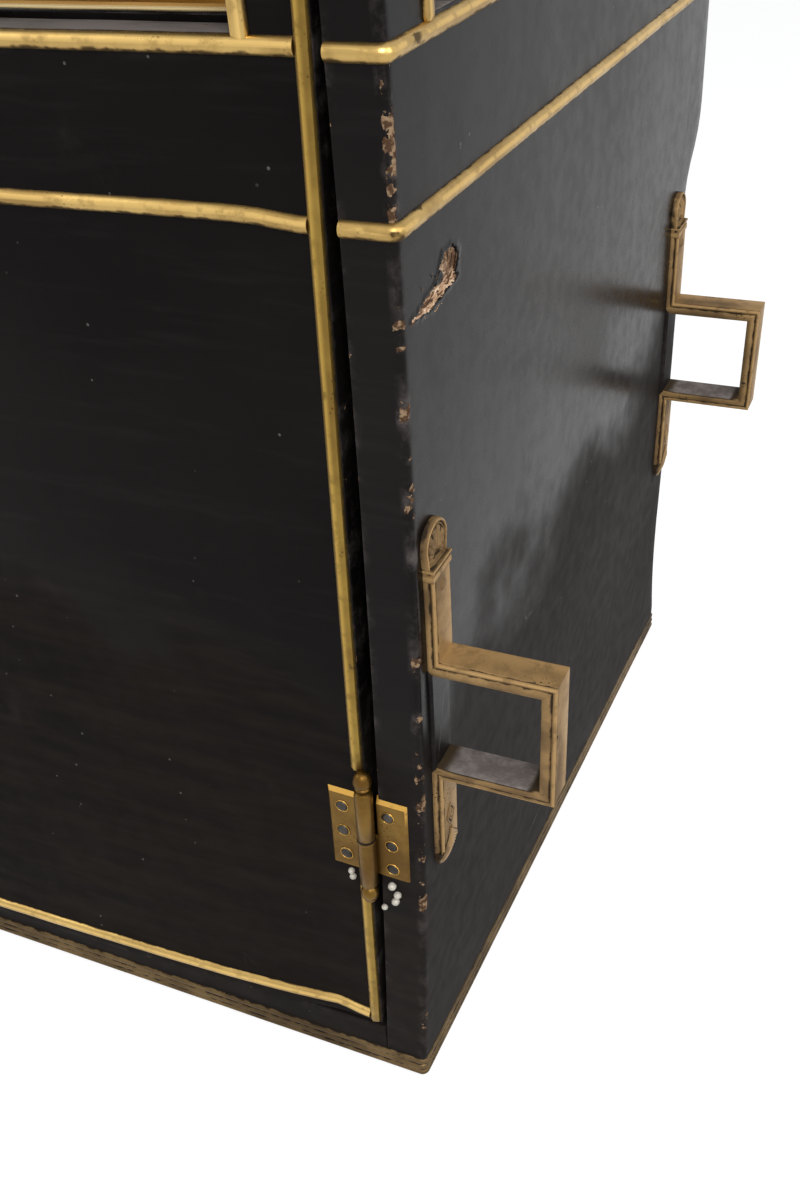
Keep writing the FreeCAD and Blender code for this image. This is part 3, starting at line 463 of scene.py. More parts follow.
def cloth(name, colour, dark, threads=900.0):
    """Plain wool cloth: crossing threads, soft fading, and a sheen from its nap."""
    finish = Finish(name, Sheen_Weight=0.08, Sheen_Roughness=0.5, Specular_IOR_Level=0.1)
    fade = finish.noise(6.0, 5.0, 0.6)
    base = finish.mix(finish.between(fade, 0.3, 0.72), colour, dark)
    stains = finish.between(finish.noise(19.0, 6.0, 0.7), 0.6, 0.75, 0.0, 0.4)
    base = finish.mix(stains, base, shade(dark, 0.6))
    wave = 2 * math.pi
    axes = finish.node("ShaderNodeSeparateXYZ", {"Vector": finish.place}).outputs
    ribs = [finish.maths("SINE", finish.times(axes[letter], threads * wave), 0.0) for letter in "XYZ"]
    weave = finish.plus(finish.times(ribs[0], ribs[2]), finish.times(ribs[1], ribs[2]))
    base = finish.mix(finish.between(weave, -1.2, 1.2, 0.0, 0.22), base, shade(dark, 0.45))
    relief = finish.bump(finish.noise(30.0, 4.0), 0.8)
    relief = finish.bump(weave, 0.12, relief)
    return finish.done(base, finish.between(fade, 0.2, 0.8, 0.8, 0.95), relief)


def wood(name, colour, dark, roughness=0.5):
    """Timber with long grain along its height or length."""
    finish = Finish(name, Specular_IOR_Level=0.35)
    grain = finish.noise(60.0, 5.0, 0.6, 0.8, (1.0, 0.12, 0.12))
    pores = finish.noise(300.0, 3.0, 0.5, 0.0, (1.0, 0.06, 0.06))
    base = finish.mix(finish.between(grain, 0.35, 0.65), colour, dark)
    base = finish.mix(finish.between(pores, 0.6, 0.72, 0.0, 0.6), base, shade(dark, 0.4))
    relief = finish.bump(grain, 0.25)
    relief = finish.bump(pores, 0.1, relief)
    return finish.done(base, finish.between(grain, 0.3, 0.7, roughness - 0.1, roughness + 0.1), relief)


def glass(name):
    """Old crown glass: clear, with slow ripples and a little dust."""
    finish = Finish(name, Alpha=0.2, IOR=1.5, Specular_IOR_Level=0.8)
    cloudy = finish.noise(9.0, 4.0)
    base = finish.mix(finish.between(cloudy, 0.4, 0.7), (0.16, 0.18, 0.17), (0.26, 0.28, 0.26))
    return finish.done(base, finish.between(cloudy, 0.5, 0.8, 0.01, 0.1), finish.bump(finish.noise(14.0, 2.0), 1.5))


def rawhide(name):
    """The torn inside of the hide: tan fibres, pale where they are fresh, and painted shade that makes them nearly
    black deep in the hole.
    """
    finish = Finish(name, Specular_IOR_Level=0.15)
    fibres = finish.noise(190.0, 6.0, 0.7, 0.5, (1.0, 0.4, 1.0))
    base = finish.mix(finish.between(fibres, 0.34, 0.5), (0.16, 0.085, 0.045), (0.56, 0.36, 0.22))
    base = finish.mix(finish.between(fibres, 0.52, 0.68), base, (0.86, 0.68, 0.5))
    old = finish.plus(finish.age(), finish.between(fibres, 0.3, 0.7, 0.18, -0.18))
    base = finish.mix(finish.between(old, 0.3, 0.62), base, (0.11, 0.055, 0.03))
    # Nearly black at the highest ages, which tear_filling gives the deep hole: painted shade.
    base = finish.mix(finish.between(old, 0.66, 0.9), base, (0.008, 0.005, 0.004))
    return finish.done(base, 0.9, finish.bump(fibres, 0.8))


BLACK_HIDE = leather("black_hide")
DOOR_HIDE = leather("door_hide", gloss=0.055)
DUSTY_HIDE = leather("dusty_hide", 0.8)
GOLD_BRASS = brass("gold_brass", (0.52, 0.35, 0.12), (0.33, 0.21, 0.068), (0.06, 0.036, 0.016), (0.3, 0.46))
# A darker copy of the bright brass for the door's edge strips, which face forward: painted shade.
SHADED_STRIP_BRASS = brass("shaded_strip_brass", (0.28, 0.18, 0.04), (0.18, 0.108, 0.024), (0.04, 0.026, 0.012), (0.32, 0.46), 0.6,
    0.9, 1.7, 0.3)
AGED_BRASS = brass("aged_brass", (0.33, 0.205, 0.085), (0.14, 0.085, 0.038), (0.026, 0.018, 0.011), (0.45, 0.6), 1.0,
    0.3, 1.35, 0.15)
BASE_BRASS = brass("base_brass", (0.15, 0.1, 0.046), (0.075, 0.05, 0.026), (0.018, 0.013, 0.01), (0.4, 0.55), 0.8)
# The hinge brass lightens its crests 3.8 times: polish and a painted highlight, brightest on the leaves' top bevels.
HINGE_BRASS = brass("hinge_brass", (0.2, 0.115, 0.026), (0.115, 0.06, 0.013), (0.03, 0.018, 0.009), (0.3, 0.42), 0.6,
    0.95, 3.8, 0.3)
STEEL = brass("dull_steel", (0.085, 0.077, 0.068), (0.042, 0.038, 0.034), (0.018, 0.016, 0.014), (0.35, 0.5))
OCHRE_CLOTH = cloth("ochre_wool", (0.68, 0.36, 0.06), (0.54, 0.26, 0.035))
CREAM_BRAID = cloth("cream_braid", (0.74, 0.58, 0.3), (0.62, 0.46, 0.21), 500.0)
CUSHION_CLOTH = cloth("cushion_wool", (0.52, 0.28, 0.09), (0.4, 0.2, 0.055), 700.0)
OILED_WOOD = wood("oiled_wood", (0.19, 0.1, 0.045), (0.1, 0.05, 0.022))
BLACK_WOOD = wood("black_wood", (0.022, 0.016, 0.012), (0.01, 0.008, 0.006), 0.4)
WINDOW_GLASS = glass("window_glass")
TORN_HIDE = rawhide("torn_hide")

# ---- leather


def mesh_tree(mesh):
    return BVHTree.FromPolygons([vertex.co for vertex in mesh.vertices], [face.vertices[:] for face in mesh.polygons])


def tree_of(node):
    return mesh_tree(frame["nodes"][node].data)


BACK_TREE = tree_of("back_wall")
DOOR_TREE = tree_of("door_panel")


def back_y(z):
    """The back wall's outer face at a height: a foot, a cove, and an ogee below the upright part."""
    start = Vector((0, BACK + 100, min(max(z, 1.0), WALL_TOP - 1))) / MM
    return BACK_TREE.ray_cast(start, Vector((0, -1, 0)))[0].y * MM


def door_edge(z):
    """Where the door's hinge edge is at a height."""
    start = Vector((SILL_HALF + 100, FRONT + 5, min(max(z, DOOR_LOW.z + 0.5), DOOR_HIGH.z - 0.5))) / MM
    return DOOR_TREE.ray_cast(start, Vector((-1, 0, 0)))[0].x * MM


def door_warp(x, z):
    """How far the door's warped foot stands forward, most of all at its free corner."""
    return 17 * (1 - math.exp(-max(0.0, 240 - x) / 130)) * (1 - smooth_step(z, 60, 420))


def door_face(x, z, proud=0.0):
    return Vector((x, FRONT - door_warp(x, z) - proud, z))


def near(distance, reach):
    return max(0.0, 1 - abs(distance) / reach)


def wrap(name, body, us, vs, at, age, depth, skip=None, finish=BLACK_HIDE):
    """Stretches hide over a wall. at(u, v) gives a point of the wall and its normal. Cells that skip names
    are left open, and every edge is rounded and turned in by a depth."""
    shape = Shape()
    rows = []
    outs = {}
    for v in vs:
        places = [at(u, v) for u in us]
        lifts = [HIDE + 0.4 * (1 + ripple(spot, 150)) + 0.12 * (1 + ripple(spot, 40, 1)) for spot, _ in places]
        points = [spot + out * lift for (spot, out), lift in zip(places, lifts)]
        row = shape.row(points, [age(u, v) for u in us])
        outs.update(zip(row, (out for _, out in places)))
        rows.append(row)
    faces = []
    for low, high, down, up in zip(rows, rows[1:], vs, vs[1:]):
        for number in range(len(us) - 1):
            if not (skip and skip((us[number] + us[number + 1]) / 2, (down + up) / 2)):
                faces.append((low[number], low[number + 1], high[number + 1], high[number]))
    points = shape.points
    one, two, three = (points[corner] for corner in faces[0][:3])
    if (two - one).cross(three - two).dot(outs[faces[0][0]]) < 0:
        faces = [tuple(reversed(face)) for face in faces]
    shape.faces += faces
    edges = {(face[number - 1], face[number]) for face in faces for number in range(4)}
    border = sorted((start, end) for start, end in edges if (end, start) not in edges)
    aways = {}
    for start, end in border:
        away = (points[end] - points[start]).normalized().cross(outs[start])
        for corner in (start, end):
            aways[corner] = aways.get(corner, Vector((0, 0, 0))) + away
    before = {corner: corner for corner in aways}
    for past, sunk, old in ((0.5, 0.12, 1.0), (0.9, 0.5, 1.0), (1.05, 1.3, 0.7), (1.05, depth, 0.5)):
        ring = {}
        for corner, away in aways.items():
            spot = points[corner] + away.normalized() * past - outs[corner] * sunk
            ring[corner] = shape.row([spot], old * min(1.0, 0.35 + shape.ages[corner]))[0]
        for start, end in border:
            shape.faces.append((before[end], before[start], ring[start], ring[end]))
        before = ring
    piece(name, shape, body, finish, crease=60)


def side_station(y):
    """The side hide's parameter for a place along the side, above the back's cove."""
    return 1 + (y - FRONT - CORNER) / (BACK - FRONT - CORNER * 2)


def side_at(sign):
    def at(s, z):
        half = side_x(z)
        back = back_y(z)
        if s <= 0:
            spot, out = (half - CORNER + s * (SIDE - CORNER - 0.2), FRONT), (0, -1)
        elif s <= 1:
            out = (math.sin(s * math.pi / 2), -math.cos(s * math.pi / 2))
            spot = (half - CORNER + out[0] * CORNER, FRONT + CORNER + out[1] * CORNER)
        elif s <= 2:
            spot, out = (half, FRONT + CORNER + (s - 1) * (back - FRONT - CORNER * 2)), (1, 0)
        elif s <= 3:
            out = (math.cos((s - 2) * math.pi / 2), math.sin((s - 2) * math.pi / 2))
            spot = (half - CORNER + out[0] * CORNER, back - CORNER + out[1] * CORNER)
        else:
            spot, out = (half - CORNER - (s - 3) * 16, back), (0, 1)
        return Vector((spot[0] * sign, spot[1], z)), Vector((out[0] * sign, out[1], 0))

    return at


TEAR = (FRONT + 6, FRONT + 98, 728, 778)  # where the hide's mesh is fine enough for the tear
TEAR_LINE = (  # (y, z, half the height) from its front to its rear end
    (-367, 741.5, 0.4), (-352, 742, 3.2), (-333, 744, 7.4), (-315, 746, 5.4), (-299, 746, 4.0), (-286, 744.5, 0.3))
SLIT = ((-329, 751), (-322, 757), (-314, 770))


def tear_at(y):
    """The middle and half the height of the tear at a place along the side."""
    for (one, low, narrow), (two, high, wide) in zip(TEAR_LINE, TEAR_LINE[1:]):
        if one <= y <= two:
            share = (y - one) / (two - one)
            return low + (high - low) * share, narrow + (wide - narrow) * share
    return 744.0, -1.0


def torn(y, z):
    """How deep a place lies in the tear near the front of the right side: above 0 is inside."""
    middle, half = tear_at(y)
    depth = half + ripple((y, z, 0), 6, 3) * 2.0 - abs(z - middle) if half > 0 else -9.0
    lobe = 1 - math.hypot((y + 304) / 15, (z - 757) / 11)
    depth = max(depth, lobe * 9 + ripple((y, z, 0), 5, 8) * 1.6)
    for (y_one, z_one), (y_two, z_two) in zip(SLIT, SLIT[1:]):
        if z_one <= z < z_two:
            share = (z - z_one) / (z_two - z_one)
            from_slit = abs(y - y_one - (y_two - y_one) * share)
            depth = max(depth, 1.5 - (z - 751) * 0.055 - from_slit)
    return depth


# Heights along the front corners where the hide is chipped, and half the chips' length.
CHIPS = (
    (744, 9), (729, 4), (685, 6), (615, 4), (574, 8), (486, 7), (452, 5), (430, 9), (405, 5), (384, 9), (348, 6),
    (234, 6), (101, 5))


def side_hide(name, sign):
    heights = steps(FOOT, WALL_TOP, 14, 8, 22, *TEAR[2:], WINDOW_SILL, WINDOW_HEAD)
    window = [side_station(end) for end in SIDE_WINDOW]
    stations = steps(-1.0, 0.0, 0.14, -0.95) + steps(0.0, 1.0, 0.25)[1:] + steps(1.0, 2.0, 0.02, 1.006, 1.02,
        *window)[1:]
    stations += steps(2.0, 3.0, 0.25)[1:] + [3.5, 4.0]
    with_tear = sign > 0
    near_end, far_end, low_end, high_end = TEAR
    if with_tear:
        heights = sorted({*heights, *steps(low_end, high_end, 1.5)})
        stations = sorted({*stations, *steps(side_station(near_end), side_station(far_end), 0.002)})
    flat = side_at(sign)

    def at(s, z):
        spot, out = flat(s, z)
        if with_tear and low_end < z < high_end and side_station(near_end) < s < side_station(far_end):
            lift = max(0.0, 1 - abs(torn(spot.y, z)) / 2.5) * 0.7
            return spot + Vector((lift, ripple(spot, 5, 1) * lift * 0.6, ripple(spot, 5, 2) * lift * 0.6)), out
        return spot, out

    def age(s, z):
        from_corner = -s * (SIDE - CORNER) if s < 0 else max(0.0, s - 1) * (BACK - FRONT)
        rubbed = 0.7 if WINDOW_SILL - 110 < z < WINDOW_SILL else 0.0
        corner = near(from_corner, 3.6) * 0.85 + near(from_corner, 1.6) * rubbed
        gap = near((s + 1) * 34, 3.0) * (1.2 if 760 < z < WINDOW_SILL else 0.9)
        for place, size in CHIPS:
            corner = max(corner, near(from_corner, 2.6) * near(z - place, size * 0.7) * 2.5)
        foot = near(z, 24) * 0.8
        back = near((2 - s) * 750 if s < 2 else 0, 6) * 0.6
        rim = 0.0
        if window[0] - 0.01 < s < window[1] + 0.01:
            rim = max(near(z - WINDOW_SILL, 6), near(z - WINDOW_HEAD, 6)) * 0.5
        return max(corner, gap, foot, back, rim)

    def skip(s, z):
        if window[0] < s < window[1] and WINDOW_SILL < z < WINDOW_HEAD:
            return True
        return with_tear and 1 < s < 2 and torn(flat(s, z)[0].y, z) > 0

    wrap(name, "cabin", stations, heights, at, age, 14, skip)


def back_hide():
    def at(u, z):
        slope = (back_y(z + 2) - back_y(z - 2)) / 4 if 4 < z < WALL_TOP - 4 else 0.0
        return Vector((u * (side_x(z) - 12), back_y(z) - 0.8, z)), Vector((0, 1, -slope)).normalized()

    heights = steps(FOOT, WALL_TOP, 14, 8, 22)
    wrap("back_hide", "cabin", steps(-1.0, 1.0, 0.04), heights, at, lambda u, z: near(z, 14) * 0.7, 3)


def front_hide(name, half, low_z, high_z, age):
    """A flat strip of hide across the cabin's front."""

    def at(x, z):
        return Vector((x, FRONT, z)), Vector((0, -1, 0))

    wrap(name, "cabin", steps(-half, half, 24), steps(low_z, high_z, 10), at, age, 5)


def door_hide():
    half = DOOR_WINDOW_HALF
    head = DOOR_HIGH.x

    def at(u, z):
        side = 1 if u > 0 else -1
        edge = door_edge(z) - (DOOR_HIGH.x + DOOR_LOW.x if u < 0 else 0) - 0.9
        x = u if abs(u) <= half else side * (half + (abs(u) - half) * (edge - half) / (head - half))
        return Vector((x, FRONT - door_warp(x, z), z)), Vector((0, -1, 0))

    def age(u, z):
        rim = max(near(head - abs(u), 4), near(z - DOOR_LOW.z, 8), near(DOOR_HIGH.z - z, 5)) * 0.7
        if abs(u) < half + 5 and WINDOW_SILL - 5 < z < WINDOW_HEAD + 5:
            rim = max(rim, near(z - WINDOW_SILL, 5) * 0.6, near(abs(u) - half, 5) * 0.6)
        return rim

    def skip(u, z):
        return abs(u) < half and WINDOW_SILL < z < WINDOW_HEAD

    us = steps(-head, head, 14, -head + 4, -half, half, head - 4)
    vs = steps(DOOR_LOW.z + 1, DOOR_HIGH.z - 1, 14, DOOR_LOW.z + 9, WINDOW_SILL, WINDOW_HEAD)
    wrap("door_hide", "door", us, vs, at, age, 25, skip, DOOR_HIDE)


for side_name, side_sign in SIDES:
    side_hide(f"side_hide_{side_name}", side_sign)
back_hide()
door_hide()
front_hide("sill_hide", FOOT_HALF - SIDE, FOOT, SILL_RAIL_HIGH.z, lambda x, z: near(z - 52, 4) * 0.6)
front_hide("head_hide", HEAD_RAIL_HIGH.x - 1, HEAD_RAIL_LOW.z, WALL_TOP, lambda x, z: near(z - HEAD_RAIL_LOW.z, 4))

# ---- brass


def round_box(half, low_y, high_y, z, inset, radius):
    """A path round a rectangle from the right-hand side of its front, with its normals. Its corners are arcs."""
    path, outs = [], []
    for number, (x, y) in enumerate(((half, low_y), (half, high_y), (-half, high_y), (-half, low_y))):
        centre = Vector((x - math.copysign(inset, x), y - math.copysign(inset, y), z))
        for part in range(5):
            angle = math.radians(-90 + 90 * number + part * 22.5)
            out = Vector((math.cos(angle), math.sin(angle), 0))
            path.append(centre + out * radius)
            outs.append(out)
    return path, outs


def round_cabin(z, reach):
    return round_box(reach, FRONT, BACK, z, CORNER, CORNER)


def filled(path, outs, size, loop=False):
    """The same path with more points on its long runs."""
    points, normals = [], []
    count = len(path)
    for number in range(count if loop else count - 1):
        here, after = Vector(path[number]), Vector(path[(number + 1) % count])
        parts = max(1, int((after - here).length / size))
        for part in range(parts):
            points.append(here.lerp(after, part / parts))
            normals.append(Vector(outs[number]).lerp(Vector(outs[(number + 1) % count]), part / parts))
    if not loop:
        points.append(Vector(path[-1]))
        normals.append(Vector(outs[-1]))
    return points, normals


def cabin_mouldings():
    for name, node in (("upper_brass_cabin", "sill_moulding"), ("middle_brass_cabin", "waist_moulding")):
        low, high = box_mm(node)
        z = (low.z + high.z) / 2
        reach = high.x - (high.z - low.z) / 2
        path, outs = round_cabin(z, reach)
        inner = reach - SIDE + 0.8
        path = [Vector((inner, FRONT, z)), *path, Vector((-inner, FRONT, z))]
        outs = [Vector((0, -1, 0)), *outs, Vector((0, -1, 0))]
        shape = Shape()
        shape.sweep(half_round(6, 6.4), *filled(path, outs, 14))
        for number, spot in enumerate(shape.points):
            from_post = max(abs(spot.y - FRONT) - 30, reach - abs(spot.x) - 30, 0.0)
            patch = smooth_step(ripple(spot, 9, 6), 0.05, 0.4) * near(from_post, 26)
            shape.ages[number] = max(shape.ages[number], patch * 0.85)
        piece(name, shape, "cabin", GOLD_BRASS, [node], lively=0.16)

    low, high = box_mm("cornice_moulding")
    path, outs = round_cabin((low.z + high.z) / 2, SILL_HALF)
    shape = Shape()
    shape.sweep(half_round(6, 6.4), *filled(path, outs, 40, True), loop=True)
    piece("cornice_brass", shape, "cabin", GOLD_BRASS, ["cornice_moulding"], lively=0.12)

    # The reeded strip round the base.
    tall = BASE_HIGH.z - BASE_LOW.z
    proud = FRONT - BASE_LOW.y
    section = [(-0.5, -tall / 2, 1.0), (1.2, -tall / 2, 0.9)]
    reeds = 3
    for reed in range(reeds):
        for part in range(7):
            share = (reed + part / 6) / reeds
            bulge = math.sin(math.pi * part / 6)
            section.append((1.6 + (proud - 1.2) * bulge**0.7, (share - 0.5) * tall, 1.0 - bulge * 0.95))
    section += [(1.2, tall / 2, 0.9), (-0.5, tall / 2, 1.0)]
    path, outs = round_cabin((BASE_LOW.z + BASE_HIGH.z) / 2, FOOT_HALF + 0.3)
    shape = Shape()
    shape.sweep(section, *filled(path, outs, 40, True), loop=True)
    piece("base_brass", shape, "cabin", BASE_BRASS, ["base_moulding"], lively=0.2, crease=50)


def door_moulding(name, node, heights, finish, ends):
    """A half-round moulding across the door. heights lists (x, rise above its CAD height)."""
    low, high = box_mm(node)
    z = (low.z + high.z) / 2
    path = []
    for x in steps(ends[0], ends[1], 12, *(place for place, _ in heights)):
        rise = heights[0][1]
        for (one, low_rise), (two, high_rise) in zip(heights, heights[1:]):
            if one <= x <= two:
                rise = low_rise + (high_rise - low_rise) * smooth_step(x, one, two)
            elif x > two:
                rise = high_rise
        path.append(door_face(x, z + rise))
    shape = Shape()
    shape.sweep(half_round(6, 6.1), path, [(0, -1, 0)] * len(path))
    piece(name, shape, "door", finish, [node], lively=0.2)


def strip_section(width, height, crown=0.0):
    """A flat strip with soft corners, a little higher along one side than along the other."""
    half = width / 2
    return [
        (-0.6, -half, 1.0),
        (height * 0.45, -half, 0.8),
        (height * 0.85, -half * 0.8, 0.2),
        (height + crown, -half * 0.3, 0.0),
        (height, half * 0.35, 0.1),
        (height * 0.8, half * 0.82, 0.3),
        (height * 0.4, half, 0.8),
        (-0.6, half, 1.0),
    ]


def door_brass():
    edge = door_edge(900) - 10.9
    door_moulding(
        "upper_brass_door", "door_sill_moulding", ((-290, 3.4), (-60, 3.0), (120, 2.2), (290, 2.4)), GOLD_BRASS,
        (-edge, edge)
    )
    door_moulding(
        "middle_brass_door",
        "door_waist_moulding",
        ((-290, 3.2), (60, 2.6), (240, 4.2), (262, 3.6), (290, 0.6)),
        GOLD_BRASS,
        (-door_edge(802) + 12, door_edge(802) - 10.9),
    )
    foot = door_edge(70) - 10.9
    door_moulding(
        "foot_brass_door",
        "door_foot_moulding",
        ((-260, 3.0), (65, 4.5), (180, 4.0), (240, 4.0), (foot, -1.5)),
        GOLD_BRASS,
        (-door_edge(70) + 11, foot),
    )

    # The strips along the door's edges, broken at the hinges on the right.
    shape = Shape()
    section = strip_section(10.5, 5.0, 0.6)
    breaks = []
    for node in ("door_hinge_leaf_low", "door_hinge_leaf_high"):
        middle = box_mm(node)[0].z + 44
        breaks.append((middle - 58, middle + 66))
    runs = [(1, DOOR_LOW.z + 1, breaks[0][0]), (1, breaks[0][1], breaks[1][0]), (1, breaks[1][1], DOOR_HIGH.z - 1)]
    runs.append((-1, DOOR_LOW.z + 1, DOOR_HIGH.z - 1))
    for sign, low, high in runs:
        path = []
        for z in steps(low, high, 30, 927):
            x = door_edge(z) - 5.9
            if sign < 0:
                x = -(door_edge(z) - DOOR_HIGH.x - DOOR_LOW.x) + 5.9
            path.append(door_face(x, z, 0.4))
        path, sizes = rounded(path, 5)
        shape.sweep(section, path, [(0, -1, 0)] * len(path), sizes)
    piece("edge_strips", shape, "door", SHADED_STRIP_BRASS, ["door_edge_strips"], lively=0.15)


def window_strip(name, node, body, place):
    """The flat strip up, over and down a window. place(along, z) gives a point of the wall and its normal."""
    low, high = box_mm(node)
    ends = (low.x, high.x) if body == "door" else (low.y, high.y)
    corners = [(ends[0] + 6, low.z - 3), (ends[0] + 6, high.z - 6), (ends[1] - 6, high.z - 6), (ends[1] - 6, low.z - 3)]
    path, outs = [], []
    for along, z in corners:
        spot, out = place(along, z)
        path.append(spot)
        outs.append(out)
    path, outs = filled(path, outs, 40)
    path, sizes = rounded(path, 5)
    shape = Shape()
    shape.sweep(strip_section(12, 4.4), path, [outs[0]] * len(path), sizes)
    piece(name, shape, body, GOLD_BRASS, [node], lively=0.15)


cabin_mouldings()
door_brass()
window_strip("window_strip_door", "door_window_trim", "door", lambda x,
    z: (Vector((x, FRONT - 0.8, z)), Vector((0, -1, 0))))
for side_name, side_sign in SIDES:
    window_strip(
        f"window_strip_{side_name}",
        f"side_window_trim_{side_name}",
        "cabin",
        lambda y, z, sign=side_sign: (Vector((sign * (side_x(z) + 0.8), y, z)), Vector((sign, 0, 0))),
    )

# ---- hinges, handle, brackets


def plate(shape, low, high, back, rim, front, bevels):
    """A plate whose front edges are bevelled: low and high are (x, z) corners, and back, rim and front are
    its y places. The bevels are those of the low x, high x, low z and high z edges."""
    left, right, below, over = bevels
    corners = ((low[0], low[1]), (high[0], low[1]), (high[0], high[1]), (low[0], high[1]))
    inner = (
        (low[0] + left, low[1] + below),
        (high[0] - right, low[1] + below),
        (high[0] - right, high[1] - over),
        (low[0] + left, high[1] - over),
    )
    lip = [(x + (far_x - x) * 0.06, z + (far_z - z) * 0.06) for (x, z), (far_x, far_z) in zip(inner, corners)]
    # The top edges are age 0, so the brass paints a highlight on the top bevel; the low edges are age 0.4.
    rubbed = [0.4, 0.4, 0.0, 0.0]
    rows = []
    for y, outline, age in ((back, corners, 1.0), (rim, corners, rubbed), (front + 0.15, lip, rubbed),
            (front, inner, 0.12)):
        rows.append(shape.row([(x, y, z) for x, z in outline], age))
    shape.join(rows, closed=True, caps=True)


def screw_head(shape, spot, out, radius):
    """A domed screw."""
    profile = [(0.9, -0.3), (0.9, 0.06), (0.84, 0.14), (0.66, 0.26), (0.4, 0.33), (0.0, 0.36)]
    shape.lathe([(part * radius, rise * radius) for part, rise in profile], spot, out, 24, 0.3)


def screw_ring(shape, spot, out, radius):
    """The rim of a screw's seat, of age 0: polish and a painted highlight make it bright."""
    profile = [(1.02, -0.1), (1.1, 0.05), (1.07, 0.1), (1.0, 0.12), (0.95, 0.05), (0.92, -0.1)]
    shape.lathe([(part * radius, rise * radius) for part, rise in profile], spot, out, 24, 0.0)


def hinge(name, door_node, post_node):
    """One lift-off hinge, built upright at its pin and leaned with the pins' line."""
    joint = next(joint for joint in frame["joints"] if joint["name"] == "door_hinge")
    axis = Vector(joint["axis"])
    high = box_mm(door_node)[1]
    reach_up = 52 * axis.z
    start = Vector(joint["pos_m"]) * MM
    middle = start + axis * ((high.z - reach_up - start.z) / axis.z)
    lean = math.atan2(axis.x, axis.z)
    to_place = Matrix.Translation(middle) @ Matrix.Rotation(lean, 4, "Y")
    wall = FRONT - middle.y
    rim, front = 7.6, 4.3

    def leaf(part, body, node, low, high, bevels, tongue_low, tongue_high, tongue_bevels):
        shape = Shape()
        plate(shape, low, high, wall + 0.5, rim, front, bevels)
        plate(shape, tongue_low, tongue_high, wall, rim, front, tongue_bevels)
        piece(f"{name}_{part}", shape.moved(to_place), body, HINGE_BRASS, [node], crease=8)

    def turned(part, body, finish, *profiles):
        shape = Shape()
        for profile, age in profiles:
            shape.lathe(profile, (0, 0, 0), (0, 0, 1), 28, age)
        piece(f"{name}_{part}", shape.moved(to_place), body, finish)

    bevels = (3.0, 0.5, 2.0, 7.0)
    leaf("door_leaf", "door", door_node, (-36, -44), (-8.2, 44), bevels, (-8.4, 0.6), (-3, 44), (0.0, 0.0, 0.4, 7.0))
    barrel = [(5.0, 0.6), (7.1, 0.7), (7.6, 1.4), (7.55, 26), (7.6, 48.2), (7.0, 50.6), (4.4, 52.4), (3.2, 52.4)]
    turned("door_barrel", "door", HINGE_BRASS, (barrel, 0.1))
    bevels = (0.5, 3.0, 2.0, 7.0)
    leaf("post_leaf", "cabin", post_node, (8.2, -44), (36, 44), bevels, (3, -44), (8.4, -0.6), (0.0, 0.0, 2.0, 0.4))
    barrel = [(4, -53.4), (6.6, -52.6), (7.4, -51), (7.6, -26), (7.5, -3.4), (7.9, -2.9), (8.1, -1.9), (7.9, -1.0)]
    barrel += [(6.4, -0.4)]
    ball = [(3.0, -72), (4.6, -71), (5.2, -69.4), (5.0, -68), (6.6, -66.6), (7.5, -63.4), (7.4, -60), (6.0, -56.6)]
    ball += [(4.4, -55)]
    egg = [(4.0, 52.8), (4.2, 54), (6.2, 54.8), (6.5, 55.6), (6.0, 56.5), (5.5, 57), (6.8, 58.4), (7.6, 61.4),
        (7.4, 64.6)]
    egg += [(6.3, 67.8), (4.4, 70.2), (2.0, 71.5), (0.0, 71.8)]
    turned("post_barrel", "cabin", HINGE_BRASS, (barrel, 0.1), (ball, 0.2), (egg, 0.1))
    # A steel washer in the joint, aged 1 all over: grime, and painted shade of the gap between the knuckles.
    turned("joint_ring", "cabin", STEEL, ([(7.2, -0.6), (7.75, -0.4), (7.75, 0.6), (7.2, 0.8)], 1.0))

    places = {"door": ((-22.4, 24), (-23, -3), (-21.4, -29)), "post": ((18, 25), (20.3, -5.7), (20.3, -32))}
    for part, body in (("door", "door"), ("post", "cabin")):
        screws, rims = Shape(), Shape()
        for x, z in places[part]:
            screw_head(screws, (x, 4.35, z), (0, -1, 0), 5.4)
            screw_ring(rims, (x, 4.35, z), (0, -1, 0), 5.4)
        piece(f"{name}_{part}_screws", screws.moved(to_place), body, STEEL)
        piece(f"{name}_{part}_rims", rims.moved(to_place), body, HINGE_BRASS)


def ring_path(centre, radius):
    """A ring that hangs square to y, with its normals."""
    x, y, z = centre
    outs = [Vector((math.cos(turn), 0, math.sin(turn))) for turn in turns(48)]
    return [Vector((x + radius * math.cos(turn), y, z + radius * math.sin(turn))) for turn in turns(48)], outs


def round_section(radius, points=12, age=0.1):
    return [(math.cos(turn) * radius, math.sin(turn) * radius, age) for turn in turns(points)]


def handle():
    """A drop ring hanging from a turned stud on a rose."""
    low, high = box_mm("door_handle")
    radius = (high.x - low.x) / 2 - 3
    x = (low.x + high.x) / 2
    ring_z = low.z + radius + 3
    stud_z = ring_z + radius
    shape = Shape()
    rose = [(13, -0.5), (13, 1.6), (12.2, 2.6), (11, 2.2), (10.4, 1.5), (9.6, 1.9), (8.8, 3.4), (6.2, 4.2), (5.6, 3.8)]
    rose += [(4.4, 4.6), (3.4, 6.5), (3.0, 10), (3.3, 11.5), (4.3, 12.4), (4.3, 16.8), (5.2, 18), (4.6, 19.8),
        (2.4, 20.9), (0, 21.2)]
    shape.lathe(rose, (x, FRONT, stud_z), (0, -1, 0), 28, 0.2)
    shape.sweep(round_section(3.1), *ring_path((x, FRONT - 14.6, ring_z), radius), loop=True)
    shape.lathe([(2.6, -3), (3.9, -2.4), (4.6, 0), (3.9, 2.4), (2.6, 3)], (x + 0.1, FRONT - 14.6, ring_z - radius),
        (1, 0, 0), 20)
    piece("handle_ring", shape, "door", GOLD_BRASS, ["door_handle"])


